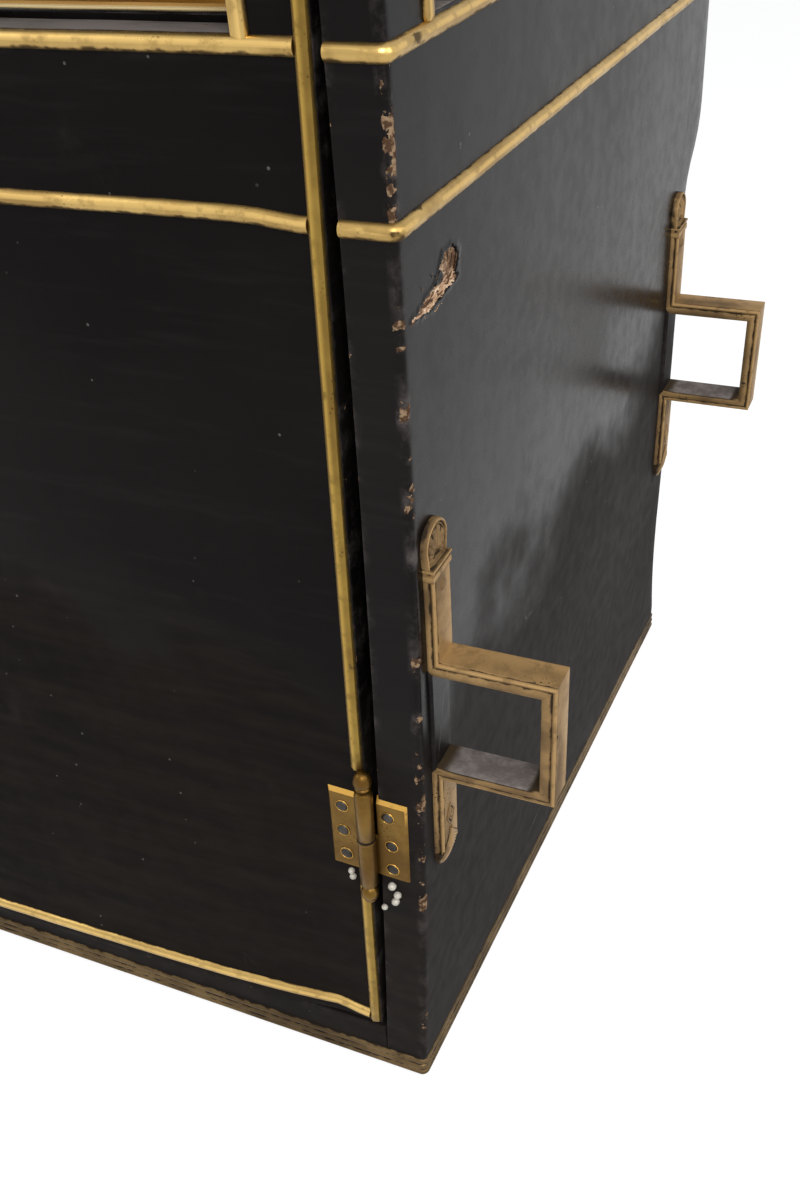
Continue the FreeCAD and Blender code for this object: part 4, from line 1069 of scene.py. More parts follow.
BAR_EDGE = (
    (0.0, 10.0, 0.15),
    (-0.25, 10.5, 0.6),
    (-1.1, 11.1, 1.0),
    (-0.2, 11.9, 0.5),
    (0.35, 13.0, 0.0),
    (0.1, 14.2, 0.0),
    (-0.9, 15.0, 0.0),
    (-2.1, 15.0, 0.1),
    (-3.0, 14.4, 0.6),
    (-3.5, 13.6, 1.0),
    (-4.2, 14.4, 0.7),
    (-5.6, 15.3, 0.15),
    (-7.6, 15.6, 0.1),
    (-9.6, 15.2, 0.15),
    (-11.3, 14.3, 0.4),
    (-12.0, 13.0, 0.8),
)


BAR_BACK = ((-12.0, -14.0, 0.6), (-11.0, -15.0, 0.3), (-1.2, -15.0, 0.2), (-0.2, -14.4, 0.1), (0.0, -13.2, 0.0))
LEG = 9.5  # how far a bracket's legs stand off the wall
REACH = 101.0  # how far its outer bar does
SHELL_UP = 202.5  # the shell's middle above the pole's
SHELL_RADIUS = 18.4
SHELL_MIDDLE = 200.0  # the point that the shell's rings close in on
SHELL_FOOT = 186.0


def shell_outline(turn):
    """How far the shell's border is from its middle: a round top, and sides that close in to its foot."""
    down, across = math.cos(turn), abs(math.sin(turn))
    lift = SHELL_UP - SHELL_MIDDLE
    reach = lift * down + math.sqrt(SHELL_RADIUS**2 - lift**2 * across**2)
    if reach * down < lift:
        slope = 2.8 / (SHELL_UP - SHELL_FOOT)
        reach = (SHELL_RADIUS - lift * slope) / max(0.01, across - slope * down)
    if down < 0:
        reach = min(reach, (SHELL_FOOT - SHELL_MIDDLE) / down)
    return reach


def shell_relief(wall):
    """The shell, as rings of points: a rim, a thin bead, and ribs that spread from below its middle."""
    shell = Shape()
    around = 96
    rim = ((0.0, -1.0, 1.0), (0.0, 4.6, 0.6), (0.35, 6.2, 0.2), (0.9, 7.0, 0.0), (1.6, 7.3, 0.0), (2.3, 7.0, 0.1))
    rim += ((2.8, 6.2, 0.6), (3.1, 5.2, 1.0), (3.6, 5.2, 1.0), (3.9, 6.1, 0.5), (4.3, 6.4, 0.1), (4.7, 6.1, 0.4),
        (5.1, 5.0, 1.0))
    rings = []
    for inset, relief, age in rim:
        ring = []
        for turn in turns(around):
            reach = shell_outline(turn) - inset
            along, up = reach * math.sin(turn), SHELL_MIDDLE + reach * math.cos(turn)
            ring.append((wall(along, up) + relief, along, up))
        rings.append(shell.row(ring, age))
    for share in (0.97, 0.9, 0.82, 0.74, 0.66, 0.58, 0.5, 0.42, 0.34, 0.26, 0.18, 0.1, 0.01):
        ring, ages = [], []
        for turn in turns(around):
            reach = (shell_outline(turn) - 5.1) * share
            along, up = reach * math.sin(turn), SHELL_MIDDLE + reach * math.cos(turn)
            from_focus = math.hypot(along, up - SHELL_MIDDLE + 9)
            angle = math.atan2(along, up - SHELL_MIDDLE + 9)
            rib = abs(math.cos(angle * 9 + from_focus * 0.05)) ** 0.8
            spread = smooth_step(from_focus, 2, 8) * smooth_step(1.02 - share, 0, 0.14)
            bead = math.exp(-(((from_focus - 17) / 1.6) ** 2)) * 0.8
            hollow = math.exp(-((from_focus / 4.0) ** 2)) * 1.4
            ring.append((wall(along, up) + 5.3 + (1.7 * rib + bead * rib) * spread - hollow, along, up))
            ages.append(min(1.0, 1 - rib * spread * 0.9 + hollow))
        rings.append(shell.row(ring, ages))
    shell.join(rings, closed=True, caps=True)
    return shell


def leaf_relief(wall, tip):
    """The leaf at a bracket's foot: a narrow neck on the leg, full below it, and pointed, with slanting veins."""
    leaf = Shape()
    rows = []
    for up in [-79 - number * 1.0 for number in range(19)] + [-97.6, *steps(tip, -98.2, 1.0)[::-1]]:
        if up > -98:
            half = 3 + 12.3 * smooth_step(-up, 79, 98)
            rise, foot = LEG + 1.4, LEG - 0.8
        else:
            share = (up + 98) / (tip + 98)
            half = 15.3 * math.sqrt(max(0.002, 1 - max(0.0, share - 0.3) ** 1.5 / 0.7**1.5))
            rise, foot = LEG + 1.4 - (LEG - 2.5) * share**1.5, -1.5
        row, ages = [], []
        for side in range(-12, 13):
            part = side / 12
            along = part * half
            fall = abs(part) ** 3 * (1.0 if up > -98 else 0.32 * rise)
            vein = math.exp(-((along / 1.3) ** 2)) * 1.2
            slant = abs(math.sin((-up - abs(along) * 0.9) * 0.85)) * smooth_step(half - abs(along), 0.5, 3) * 0.8
            slant *= smooth_step(abs(along), 0.8, 2.4)
            row.append((wall(along, up) + rise - fall + vein + slant - 0.5, along, up))
            ages.append(min(1.0, abs(part) ** 4 * 0.7 + (0.5 - slant) * smooth_step(abs(along), 1, 3)))
        start = (wall(0, up) + foot, -half - 0.05, up)
        end = (wall(0, up) + foot, half + 0.05, up)
        rows.append(leaf.row([start, *row, end], [1.0, *ages, 1.0]))
    leaf.join(rows)
    leaf.faces += [tuple(rows[-1]), tuple(reversed(rows[0]))]
    return leaf


def pad_relief(wall, low, high):
    """The strip of hide under a bracket, thicker where the pole lies against it."""
    pad = Shape()
    rows = []
    edge = ((16.2, -1.0), (16.2, 0.9), (15.7, 1.7), (14.9, 2.0))
    for up in steps(low, high, 10, -6, -2, 94, 98, low + 0.6, high - 0.6):
        thick = 5.5 if -4 < up < 96 else 2.1
        shrink = 0.7 if up in (low, high) else 0.0
        row = []
        for across, rise in (*edge, (8.0, 2.1), (0.0, 2.15), (-8.0, 2.1), *((-a, r) for a, r in reversed(edge))):
            lift = rise * thick / 2.1 if rise > 0 else rise
            out = wall(across, up) + lift - shrink + 0.12 * ripple((across, up, 0), 12)
            row.append((out, across - math.copysign(shrink, across) * 0.6, up))
        rows.append(pad.row(row, [0.5 if abs(point[1]) > 14 else 0.1 for point in row]))
    pad.join(rows, closed=True, caps=True)
    return pad


def bracket(name, side, sign):
    """A pole loop: one moulded bar that runs down the wall from a shell, out and round the pole, and down the
    wall again to a leaf. It is drawn upright, as (out from the middle, along the pole, up), and then leaned."""
    node = f"pole_bracket_{name}_{side}"
    pad_node = f"bracket_pad_{name}_{side}"
    pole = frame["record"]["mounts"][1]["axis"]
    lean = math.atan2(pole[2], pole[1])
    low, high = box_mm(node)
    middle_y = low.y + 18.5 + SHELL_UP * math.sin(lean)
    pole_z = high.z - 18.5 - SHELL_UP * math.cos(lean)
    tip = (low.z - pole_z) / math.cos(lean)

    def wall(along, up):
        return side_x(pole_z + along * math.sin(lean) + up * math.cos(lean))

    def world(shape):
        moved = []
        for spot in shape.points:
            y = middle_y + spot.y * math.cos(lean) - spot.z * math.sin(lean)
            z = pole_z + spot.y * math.sin(lean) + spot.z * math.cos(lean)
            moved.append(Vector((spot.x * sign, y, z)))
        shape.points = moved
        return shape

    path, outs = [], []
    for up in steps(104, SHELL_FOOT + 2, 12)[::-1]:
        path.append((wall(0, up) + LEG, 0, up))
        outs.append((1, 0, 0))
    outs[-1] = (1, 0, 1)
    for x, up, out in ((wall(0, 104) + REACH, 104, (1, 0, 1)), (wall(0, -12) + REACH, -12, (1, 0, -1))):
        path.append((x, 0, up))
        outs.append(out)
    for number, up in enumerate(steps(-98, -12, 12)[::-1]):
        path.append((wall(0, up) + LEG, 0, up))
        outs.append((1, 0, 0) if number else (1, 0, -1))
    bar = Shape()
    bar.sweep([*BAR_EDGE, *BAR_BACK], *filled(path, outs, 11))
    for number, spot in enumerate(bar.points):
        if abs(spot.z) < 1.5 and wall(0, 0) + LEG + 4 < spot.x < wall(0, 0) + REACH - 13:
            bar.ages[number] = 2.0
    bar.include(shell_relief(wall))
    for up, height, half in ((187.2, 1.2, 1.2), (181.0, 0.8, 3.0)):
        out = wall(0, up)
        band = [(-1.5, -half, 1.0), (height * 0.7, -half, 0.5), (height, -half * 0.6, 0.0), (height, half * 0.6, 0.0)]
        band += [(height * 0.7, half, 0.5), (-1.5, half, 1.0)]
        corners = [(out + 1, 15.1, up), (out + LEG, 15.1, up), (out + LEG, -15.1, up), (out + 1, -15.1, up)]
        bar.sweep(band, corners, [(0, 1, 0), (1, 1, 0), (1, -1, 0), (0, -1, 0)])

    rings = []
    lozenge = Shape()
    lozenge_steps = ((1.0, -0.4, 1.0), (1.0, 0.9, 0.3), (0.84, 1.0, 0.1), (0.76, 0.1, 1.0), (0.6, 0.2, 0.8),
        (0.52, 1.2, 0.1))
    for size, relief, age in (*lozenge_steps, (0.4, 1.2, 0.1), (0.3, 0.3, 1.0), (0.2, 1.3, 0.2), (0.05, 1.6, 0.0)):
        ring = []
        for turn in turns(32):
            along, up = math.sin(turn), math.cos(turn)
            pinch = 1 / (abs(along) + abs(up)) ** 0.75
            up = -63 + up * 12.5 * size * pinch
            ring.append((wall(0, up) + LEG + relief, along * 7.6 * size * pinch, up))
        rings.append(lozenge.row(ring, age))
    lozenge.join(rings, closed=True, caps=True)
    bar.include(lozenge).include(leaf_relief(wall, tip))
    piece(f"bracket_{name}_{side}", world(bar), "cabin", AGED_BRASS, [node], crease=32)

    screw = Shape()
    screw_head(screw, (wall(0, 167) + LEG - 0.3, 1.5, 167), (1, 0, 0), 5.5)
    piece(f"bracket_screw_{name}_{side}", world(screw), "cabin", AGED_BRASS)
    pad_low = box_mm(pad_node)[0]
    pad = pad_relief(wall, (pad_low.z - pole_z) / math.cos(lean) + 1, SHELL_UP)
    piece(f"bracket_hide_{name}_{side}", world(pad), "cabin", BLACK_HIDE, [pad_node])


hinge("low_hinge", "door_hinge_leaf_low", "post_hinge_leaf_low")
hinge("high_hinge", "door_hinge_leaf_high", "post_hinge_leaf_high")
handle()
for side_name, side_sign in SIDES:
    for place_name in ("front", "rear"):
        bracket(place_name, side_name, side_sign)

# ---- roof

ROOF_HIGH = box_mm("roof_shell")[1]
RIM_HIGH = box_mm("roof_rim")[1]
ROOF_TREE = tree_of("roof_shell")


def roof_top(x, y):
    x = max(-ROOF_HIGH.x + 0.6, min(ROOF_HIGH.x - 0.6, x))
    y = max(-ROOF_HIGH.y + 0.6, min(ROOF_HIGH.y - 0.6, y))
    return ROOF_TREE.ray_cast(Vector((x, y, ROOF_HIGH.z + 100)) / MM, Vector((0, 0, -1)))[0].z * MM


def square_ring(share, a_side=28):
    """Points round a rectangle of the roof's proportions, a share of its size."""
    corners = ((1, -1), (1, 1), (-1, 1), (-1, -1))
    points = []
    for (x_one, y_one), (x_two, y_two) in zip(corners, (*corners[1:], corners[0])):
        for number in range(a_side):
            part = number / a_side
            x = (x_one + (x_two - x_one) * part) * share * ROOF_HIGH.x
            y = (y_one + (y_two - y_one) * part) * share * ROOF_HIGH.y
            points.append((x, y))
    return points


def roof_hide():
    """The dome's hide, and below it the band round the rim, turned in underneath."""
    shape = Shape()
    rows = []
    for share in (0.012, *steps(0.06, 0.95, 0.045), 0.97, 0.985, 0.993):
        spots = []
        for x, y in square_ring(share):
            swell = 1.6 + 0.5 * ripple((x, y, 0), 160) + 0.15 * ripple((x, y, 0), 40, 1)
            hip = near(abs(x) / ROOF_HIGH.x - abs(y) / ROOF_HIGH.y, 0.012) * 1.0 * (share > 0.08)
            spots.append((x, y, roof_top(x, y) + swell + hip))
        rows.append(shape.row(spots, 0.15 if share < 0.9 else 0.45))
    band = ((1.0, 3.2, 0.8), (1.4, 1.8, 1.0), (1.2, -0.4, 0.9), (1.1, -5, 0.4), (1.1, -20, 0.2), (1.1, -34, 0.2))
    band += ((1.2, -42, 0.6), (1.0, -45.5, 1.0), (0.2, -46.4, 0.9), (-8.0, -46.4, 0.5), (-8.0, -44.0, 0.5))
    for out, down, age in band:
        spots = []
        for x, y in square_ring(1.0):
            spot = Vector((x, y, 0))
            flat = Vector((x if abs(x) > ROOF_HIGH.x - 0.01 else 0, y if abs(y) > ROOF_HIGH.y - 0.01 else 0, 0))
            spots.append(spot + flat.normalized() * out + Vector((0, 0, RIM_HIGH.z + down)))
        rows.append(shape.row(spots, age))
    shape.join(rows, closed=True)
    shape.faces.append(tuple(rows[0]))
    piece("roof_hide", shape, "roof", BLACK_HIDE, crease=40)


def roof_nails():
    """Small domed nails that hold the dome's hide along its edge and its four hips."""
    nails = Shape()
    head = [(2.3, -0.8), (2.3, 0.3), (1.7, 1.1), (0.8, 1.5), (0, 1.6)]
    inset = 9.0
    finial_x, finial_y, clear = 368.5, 391.5, 17  # no nail under a finial
    spots = []
    for x, y in square_ring(1.0, 32):
        x -= math.copysign(inset, x) * (abs(x) > ROOF_HIGH.x - inset)
        y -= math.copysign(inset, y) * (abs(y) > ROOF_HIGH.y - inset)
        spots.append((x, y))
    for number in range(3, 30):
        share = number / 31
        spots += [(x * ROOF_HIGH.x * share, y * ROOF_HIGH.y * share) for x in (1, -1) for y in (1, -1)]
    for x, y in spots:
        if math.hypot(abs(x) - finial_x, abs(y) - finial_y) > clear:
            top = roof_top(x, y)
            out = Vector((roof_top(x - 3, y) - roof_top(x + 3, y), roof_top(x, y - 3) - roof_top(x, y + 3), 6))
            nails.lathe(head, Vector((x, y, top + 1.9)), out.normalized(), 10, 0.2)
    piece("roof_nails", nails, "roof", GOLD_BRASS)


def roof_brass():
    low, high = box_mm("roof_moulding")
    radius = (high.z - low.z) / 2
    x, y, z = high.x - radius, high.y - radius, (low.z + high.z) / 2
    path, outs = round_box(x, -y, y, z, 2, 2.6)
    shape = Shape()
    shape.sweep(half_round(radius, radius + 0.2), *filled(path, outs, 40, True), loop=True)
    piece("roof_brass", shape, "roof", GOLD_BRASS, ["roof_moulding"], lively=0.12)

    low, high = box_mm("roof_finials")
    tall = high.z - low.z
    turned = ((12.5, 0.0), (13.0, 0.04), (14.8, 0.07), (15.0, 0.11), (14.2, 0.15), (9.0, 0.18), (7.0, 0.23),
        (6.4, 0.28))
    turned += ((8.6, 0.31), (9.4, 0.34), (8.6, 0.37), (6.6, 0.4), (8.6, 0.45), (12.4, 0.52), (14.2, 0.6), (14.0, 0.67))
    turned += ((12.0, 0.74), (8.6, 0.8), (5.6, 0.84), (4.2, 0.87), (5.4, 0.9), (5.6, 0.93), (4.4, 0.97), (2.0, 0.995),
        (0.0, 1.0))
    finials = Shape()
    for side_x_sign in (1, -1):
        for side_y_sign in (1, -1):
            spot = ((high.x - 15) * side_x_sign, (high.y - 15) * side_y_sign, low.z)
            finials.lathe([(wide, share * tall) for wide, share in turned], spot, (0, 0, 1), 32, 0.15)
    piece("roof_knobs", finials, "roof", GOLD_BRASS, ["roof_finials"])


roof_hide()
roof_nails()
roof_brass()

# ---- cloth inside


def first_hit(tree, start, direction):
    hit = tree.ray_cast(Vector(start) / MM, Vector(direction))[0]
    return hit * MM if hit else None


def lining(name, node, body, facing, puff=1.2):
    """Cloth stretched over a lining's panel: it follows the panel's inner face and edges, with soft waves and
    turned edges. facing is the direction in which the panel is seen. Gives a function that takes edgings and does
    nothing with them."""
    tree = tree_of(node)
    box_low, box_high = box_mm(node)
    seen = Vector(facing)
    sideways = Vector((0, 1, 0)) if abs(seen.x) > 0.5 else Vector((1, 0, 0))
    middle = (box_low + box_high) / 2
    half = (box_high - box_low).dot(sideways) / 2
    centre = middle.dot(sideways)
    low, high = box_low.z, box_high.z
    shape = Shape()
    rows, wide = [], 0.0
    for level in steps(low, high, 12, low + 2, high - 2):
        inside = min(max(level, low + 0.4), high - 0.4)
        before = Vector((0, 0, inside)) + seen * (middle.dot(seen) - 240)
        face = first_hit(tree, before + sideways * centre, seen)
        mid = face + seen * 1.2
        ends = []
        for way in (-1, 1):
            edge = first_hit(tree, mid + sideways * way * (half + 40), sideways * -way)
            ends.append(edge.dot(sideways))
        wide = max(wide, ends[1] - ends[0])
        row, ages = [], []
        for number in range(49):
            share = number / 48
            share -= math.sin(share * 2 * math.pi) * 0.12
            side = ends[0] + 0.6 + (ends[1] - ends[0] - 1.2) * share
            hit = first_hit(tree, before + sideways * min(max(side, ends[0] + 1), ends[1] - 1), seen) or face
            from_edge = min(side - ends[0], ends[1] - side, level - low, high - level)
            rise = puff * smooth_step(from_edge, 0, 14) * (1 + 0.7 * ripple(hit, 90)) + 0.25 * ripple(hit, 26, 2)
            spot = hit - seen * (0.5 + rise)
            spot += sideways * (side - spot.dot(sideways))
            spot.z = level
            row.append(spot)
            ages.append(near(from_edge, 20))
        back = [spot + seen * 2.2 for spot in reversed(row)]
        rows.append(shape.row([*row, *back], [*ages, *reversed(ages)]))
    shape.join(rows, closed=True)
    for ring in (rows[0], rows[-1]):
        for number in range(len(ring) // 2 - 1):
            shape.faces.append((ring[number], ring[number + 1], ring[-2 - number], ring[-1 - number]))
    made = piece(name, shape, body, OCHRE_CLOTH, [node], crease=60)

    def declare(*edgings):
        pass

    return declare


def edging(name, body, path, outs, radius, loop=False):
    """A narrow woven edging."""
    shape = Shape()
    shape.sweep(round_section(radius, 10, 0.2), path, outs, loop=loop)
    return piece(name, shape, body, CREAM_BRAID)


def braid(name, body, path, outs, width, thick):
    """A flat woven tape with three ribs along it and small loops along its edges."""
    shape = Shape()
    half = width / 2
    section = [(0.0, -half, 0.3), (thick * 0.6, -half * 1.02, 0.3), (thick, -half * 0.8, 0.1)]
    section += [(thick * 0.8, -half * 0.3, 0.2), (thick, 0.0, 0.1), (thick * 0.8, half * 0.3, 0.2)]
    section += [(thick, half * 0.8, 0.1), (thick * 0.6, half * 1.02, 0.3), (0.0, half, 0.3)]
    path, outs = filled(path, outs, 2.4)
    sizes = [1.0 + 0.06 * (number % 2) for number in range(len(path))]
    shape.sweep(section, path, outs, sizes)
    return piece(name, shape, body, CREAM_BRAID, crease=60)


for side_name, side_sign in SIDES:
    node = f"side_lining_{side_name}"
    box_low, box_high = box_mm(node)
    declare = lining(f"side_cloth_{side_name}", node, "cabin", (side_sign, 0, 0))
    level = box_high.z - 5
    path = [(side_sign * (side_x(level) - SIDE - 4.2), y, level) for y in steps(box_low.y + 6, box_high.y - 12, 30)]
    declare(edging(f"side_edging_{side_name}", "cabin", path, [(-side_sign, 0, 0)] * len(path), 2.2))

lining("back_cloth", "back_lining", "cabin", (0, 1, 0), 1.6)()

INNER_SILL = box_mm("door_lining")[1].z
reach = DOOR_WINDOW_HALF - 0.5
TAPE_Y = POST_BACK - 13.5
tape_path = [(-reach, TAPE_Y, INNER_SILL + 0.3), (reach, TAPE_Y, INNER_SILL + 0.3)]
declare = lining("door_cloth", "door_lining", "door", (0, -1, 0), 0.6)
sill_cloth = Shape()
rows = []
for x in steps(-reach, reach, 12):
    wave = 0.25 * ripple((x, 0, 0), 45)
    places = ((TAPE_Y + 1, 0.0), (TAPE_Y + 1, 1.0), (TAPE_Y + 5, 1.5), (POST_BACK + 1, 1.5), (POST_BACK + 2.8, 0.8),
        (POST_BACK + 3.2, -4))
    rows.append(sill_cloth.row([(x, y, INNER_SILL + rise + wave) for y, rise in places], 0.1))
sill_cloth.join(rows, closed=True, caps=True)
turned_over = piece("door_sill_cloth", sill_cloth, "door", OCHRE_CLOTH, crease=60)
declare(braid("door_sill_braid", "door", tape_path, [(0, 0, 1)] * 2, 5.0, 1.6), turned_over)

# The cloth under the roof sags a little in its frame.
box_low, box_high = box_mm("roof_lining")


def slab(shape, rows, thickness):
    """Closes a sheet of rows of points with a second face, a thickness (a vector) away."""
    shape.join(rows)
    behind = [shape.row([shape.points[corner] + thickness for corner in row], shape.ages[row[0]]) for row in rows]
    shape.join([list(reversed(row)) for row in behind])
    rims = []
    for net in (rows, behind):
        rims.append([*net[0], *[row[-1] for row in net[1:]], *reversed(net[-1][:-1]),
            *[row[0] for row in reversed(net[1:-1])]])
    rims = [[*rim, rim[0]] for rim in rims]
    shape.join(rims)


ceiling = Shape()
rows = []
for y in steps(box_low.y + 1, box_high.y - 1, 16):
    spots = []
    for x in steps(box_low.x + 1, box_high.x - 1, 16):
        inward = min(box_high.x - abs(x), box_high.y - abs(y))
        sag = 0.8 + 1.6 * smooth_step(inward, 0, 200) + 0.4 * ripple((x, y, 0), 110) * smooth_step(inward, 0, 60)
        spots.append((x, y, box_low.z - sag + 1.0))
    rows.append(ceiling.row(spots, 0.2))
slab(ceiling, rows, Vector((0, 0, 2.2)))
roof_cloth = piece("roof_cloth", ceiling, "roof", OCHRE_CLOTH, ["roof_lining"], crease=60)
ring = [(box_low.x + 4, box_low.y + 4), (box_high.x - 4, box_low.y + 4), (box_high.x - 4, box_high.y - 4),
    (box_low.x + 4, box_high.y - 4)]
roof_edging = edging("roof_edging", "roof", [(x, y, box_low.z + 0.4) for x, y in ring], [(0, 0, -1)] * 4, 2.2,
    loop=True)

# ---- cushions


VOXEL = 0.0055  # the cushions' mesh, in metres
CLOTH_SETTINGS = {
    "quality": 5,
    "mass": 0.3,
    "tension_stiffness": 12,
    "compression_stiffness": 12,
    "shear_stiffness": 6,
    "bending_stiffness": 0.4,
    "use_pressure": True,
    "uniform_pressure_force": 4.0,
}
FRAMES = 20


def swollen(name, low, high, inset, cap):
    """A stuffed case: a box with rounded edges, blown up a little by cloth simulation."""
    low, high = Vector(low) + Vector(inset), Vector(high) - Vector(inset)
    work = bmesh.new()
    bmesh.ops.create_cube(work, size=1.0)
    for vertex in work.verts:
        share = vertex.co + Vector((0.5, 0.5, 0.5))
        vertex.co = Vector([low[axis] + (high[axis] - low[axis]) * share[axis] for axis in range(3)])
    bmesh.ops.bevel(work, geom=work.edges[:], offset=min(high - low) * 0.28, segments=4, profile=0.5, affect="EDGES")
    for vertex in work.verts:
        vertex.co /= MM
    mesh = bpy.data.meshes.new(name)
    work.to_mesh(mesh)
    work.free()
    thing = placed(name, mesh)
    bpy.context.view_layer.objects.active = thing
    thing.select_set(True)
    remesh = thing.modifiers.new("even", "REMESH")
    remesh.mode = "VOXEL"
    remesh.voxel_size = VOXEL * 1.0
    bpy.ops.object.modifier_apply(modifier="even")
    before = [vertex.co.copy() for vertex in thing.data.vertices]
    blown = thing.modifiers.new("stuffing", "CLOTH")
    for setting, value in CLOTH_SETTINGS.items():
        setattr(blown.settings, setting, value)
    blown.settings.effector_weights.gravity = 0
    blown.point_cache.frame_start = 1
    blown.point_cache.frame_end = FRAMES
    for number in range(1, FRAMES + 1):
        bpy.context.scene.frame_set(number)
    bpy.ops.object.modifier_apply(modifier="stuffing")
    bpy.context.scene.frame_set(1)
    for vertex, start in zip(thing.data.vertices, before):
        moved = vertex.co - start
        if moved.length > cap / MM:
            vertex.co = start + moved.normalized() * (cap / MM)
    thing.select_set(False)
    return thing


def fit_between(thing, low, high):
    """Presses a swollen case flat where it meets what bounds it, softly within the last millimetres."""
    soft = 5.0
    for vertex in thing.data.vertices:
        spot = vertex.co * MM
        for axis in range(3):
            over = spot[axis] - (high[axis] - soft)
            if over > 0:
                spot[axis] = high[axis] - soft + soft * (1 - math.exp(-over / soft))
            under = (low[axis] + soft) - spot[axis]
            if under > 0:
                spot[axis] = low[axis] + soft - soft * (1 - math.exp(-under / soft))
        vertex.co = spot / MM


def finish_cushion(thing, node):
    mesh = thing.data
    mesh.polygons.foreach_set("use_smooth", [True] * len(mesh.polygons))
    ages = mesh.attributes.new("age", "FLOAT", "POINT")
    ages.data.foreach_set("value", [0.1] * len(mesh.vertices))
    normals = [vertex.normal.copy() for vertex in mesh.vertices]
    for vertex, normal in zip(mesh.vertices, normals):
        spot = vertex.co * MM
        wave = ripple(spot, 85, 4) * 1.6 + ripple(spot, 28, 5) * 0.4
        vertex.co -= normal * (abs(wave) / MM)
    smoother = thing.modifiers.new("fine", "SUBSURF")
    smoother.levels = smoother.render_levels = 1
    mesh.materials.append(CUSHION_CLOTH)
    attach(thing, "cabin")
    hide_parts(node)


def case_seam(name, thing, low, high, axis, level):
    """Piping round a cushion at a level, drawn on the swollen case by casting rays at it."""
    tree = mesh_tree(thing.data)
    centre = (Vector(low) + Vector(high)) / 2
    centre[axis] = level
    one, two = [number for number in range(3) if number != axis]
    spans = [(high[one] - low[one]) / 2, (high[two] - low[two]) / 2]
    path, outs = [], []
    for turn in turns(132):
        direction = Vector((0, 0, 0))
        direction[one], direction[two] = math.cos(turn) * spans[0], math.sin(turn) * spans[1]
        reach = max(abs(math.cos(turn)), abs(math.sin(turn)))
        start = centre + direction / reach * 1.6
        hit, normal = tree.ray_cast(start / MM, -direction.normalized())[:2]
        if hit:
            path.append(hit * MM - normal * 0.6)
            outs.append(normal)
    shape = Shape()
    shape.sweep(round_section(2.4, 8, 0.2), path, outs, loop=True)
    return piece(name, shape, "cabin", CREAM_BRAID, crease=60)


SEAT_LOW, SEAT_HIGH = box_mm("seat_cushion")
seat = swollen("seat_pad", SEAT_LOW, SEAT_HIGH, (12, 12, 14), 26)
fit_between(seat, SEAT_LOW, (SEAT_HIGH.x, SEAT_HIGH.y, SEAT_HIGH.z + 6))
finish_cushion(seat, "seat_cushion")
case_seam("seat_piping_high", seat, SEAT_LOW, SEAT_HIGH, 2, SEAT_HIGH.z - 20)
case_seam("seat_piping_low", seat, SEAT_LOW, SEAT_HIGH, 2, SEAT_LOW.z + 18)

REST_LOW, REST_HIGH = box_mm("back_cushion")
rest = swollen("back_pad", REST_LOW, REST_HIGH, (12, 11, 12), 24)
fit_between(rest, (REST_LOW.x, REST_LOW.y - 4, REST_LOW.z), REST_HIGH)
finish_cushion(rest, "back_cushion")
case_seam("back_piping", rest, REST_LOW, REST_HIGH, 1, REST_LOW.y + 16)

# ---- ledges and small things


def ledge(name, finish, half, low_y, high_y, top):
    """A strip of hide over a sill of the door."""
    section = ((low_y, 6.0), (low_y, 1.2), (low_y + 0.8, 0.3), (low_y + 2.5, 0.0))
    section += ((high_y - 1.5, 0.0), (high_y, 0.6), (high_y, 3.0))
    shape = Shape()
    rows = []
    for x in steps(-half, half, 14):
        row = []
        wave = 0.35 * ripple((x, low_y, top), 60)
        for y, drop in section:
            row.append((x, y, top - drop + wave * (0.2 if drop > 1 else 1.0)))
        rows.append(shape.row(row, 0.5))
    shape.join(rows, closed=True, caps=True)
    piece(name, shape, "door", finish, crease=40)


ledge("door_ledge", DUSTY_HIDE, DOOR_WINDOW_HALF - 1.2, FRONT - 1.5, FRONT + 26.6, WINDOW_SILL + 1.7)
ledge("inner_ledge", BLACK_HIDE, DOOR_WINDOW_HALF - 0.6, FRONT + 38.4, TAPE_Y - 2, INNER_SILL + 0.9)
for side_name, side_sign in SIDES:
    shape = Shape()
    rows = []
    for y in steps(SIDE_WINDOW[0] + 0.8, SIDE_WINDOW[1] - 0.8, 14):
        out = side_x(WINDOW_SILL)
        wave = 0.3 * ripple((out, y, 0), 60)
        places = ((out + 1.4, 6.0), (out + 1.4, 1.2), (out + 0.6, 0.3), (out - 1.2, 0.0), (GLASS_HIGH.x + 1.2, 0.0),
            (GLASS_HIGH.x + 0.4, 3.0))
        rows.append(shape.row([(side_sign * x, y, WINDOW_SILL + 1.7 - drop + wave * 0.3) for x, drop in places], 0.5))
    shape.join(rows, closed=True, caps=True)
    piece(f"side_ledge_{side_name}", shape, "cabin", DUSTY_HIDE, crease=40)


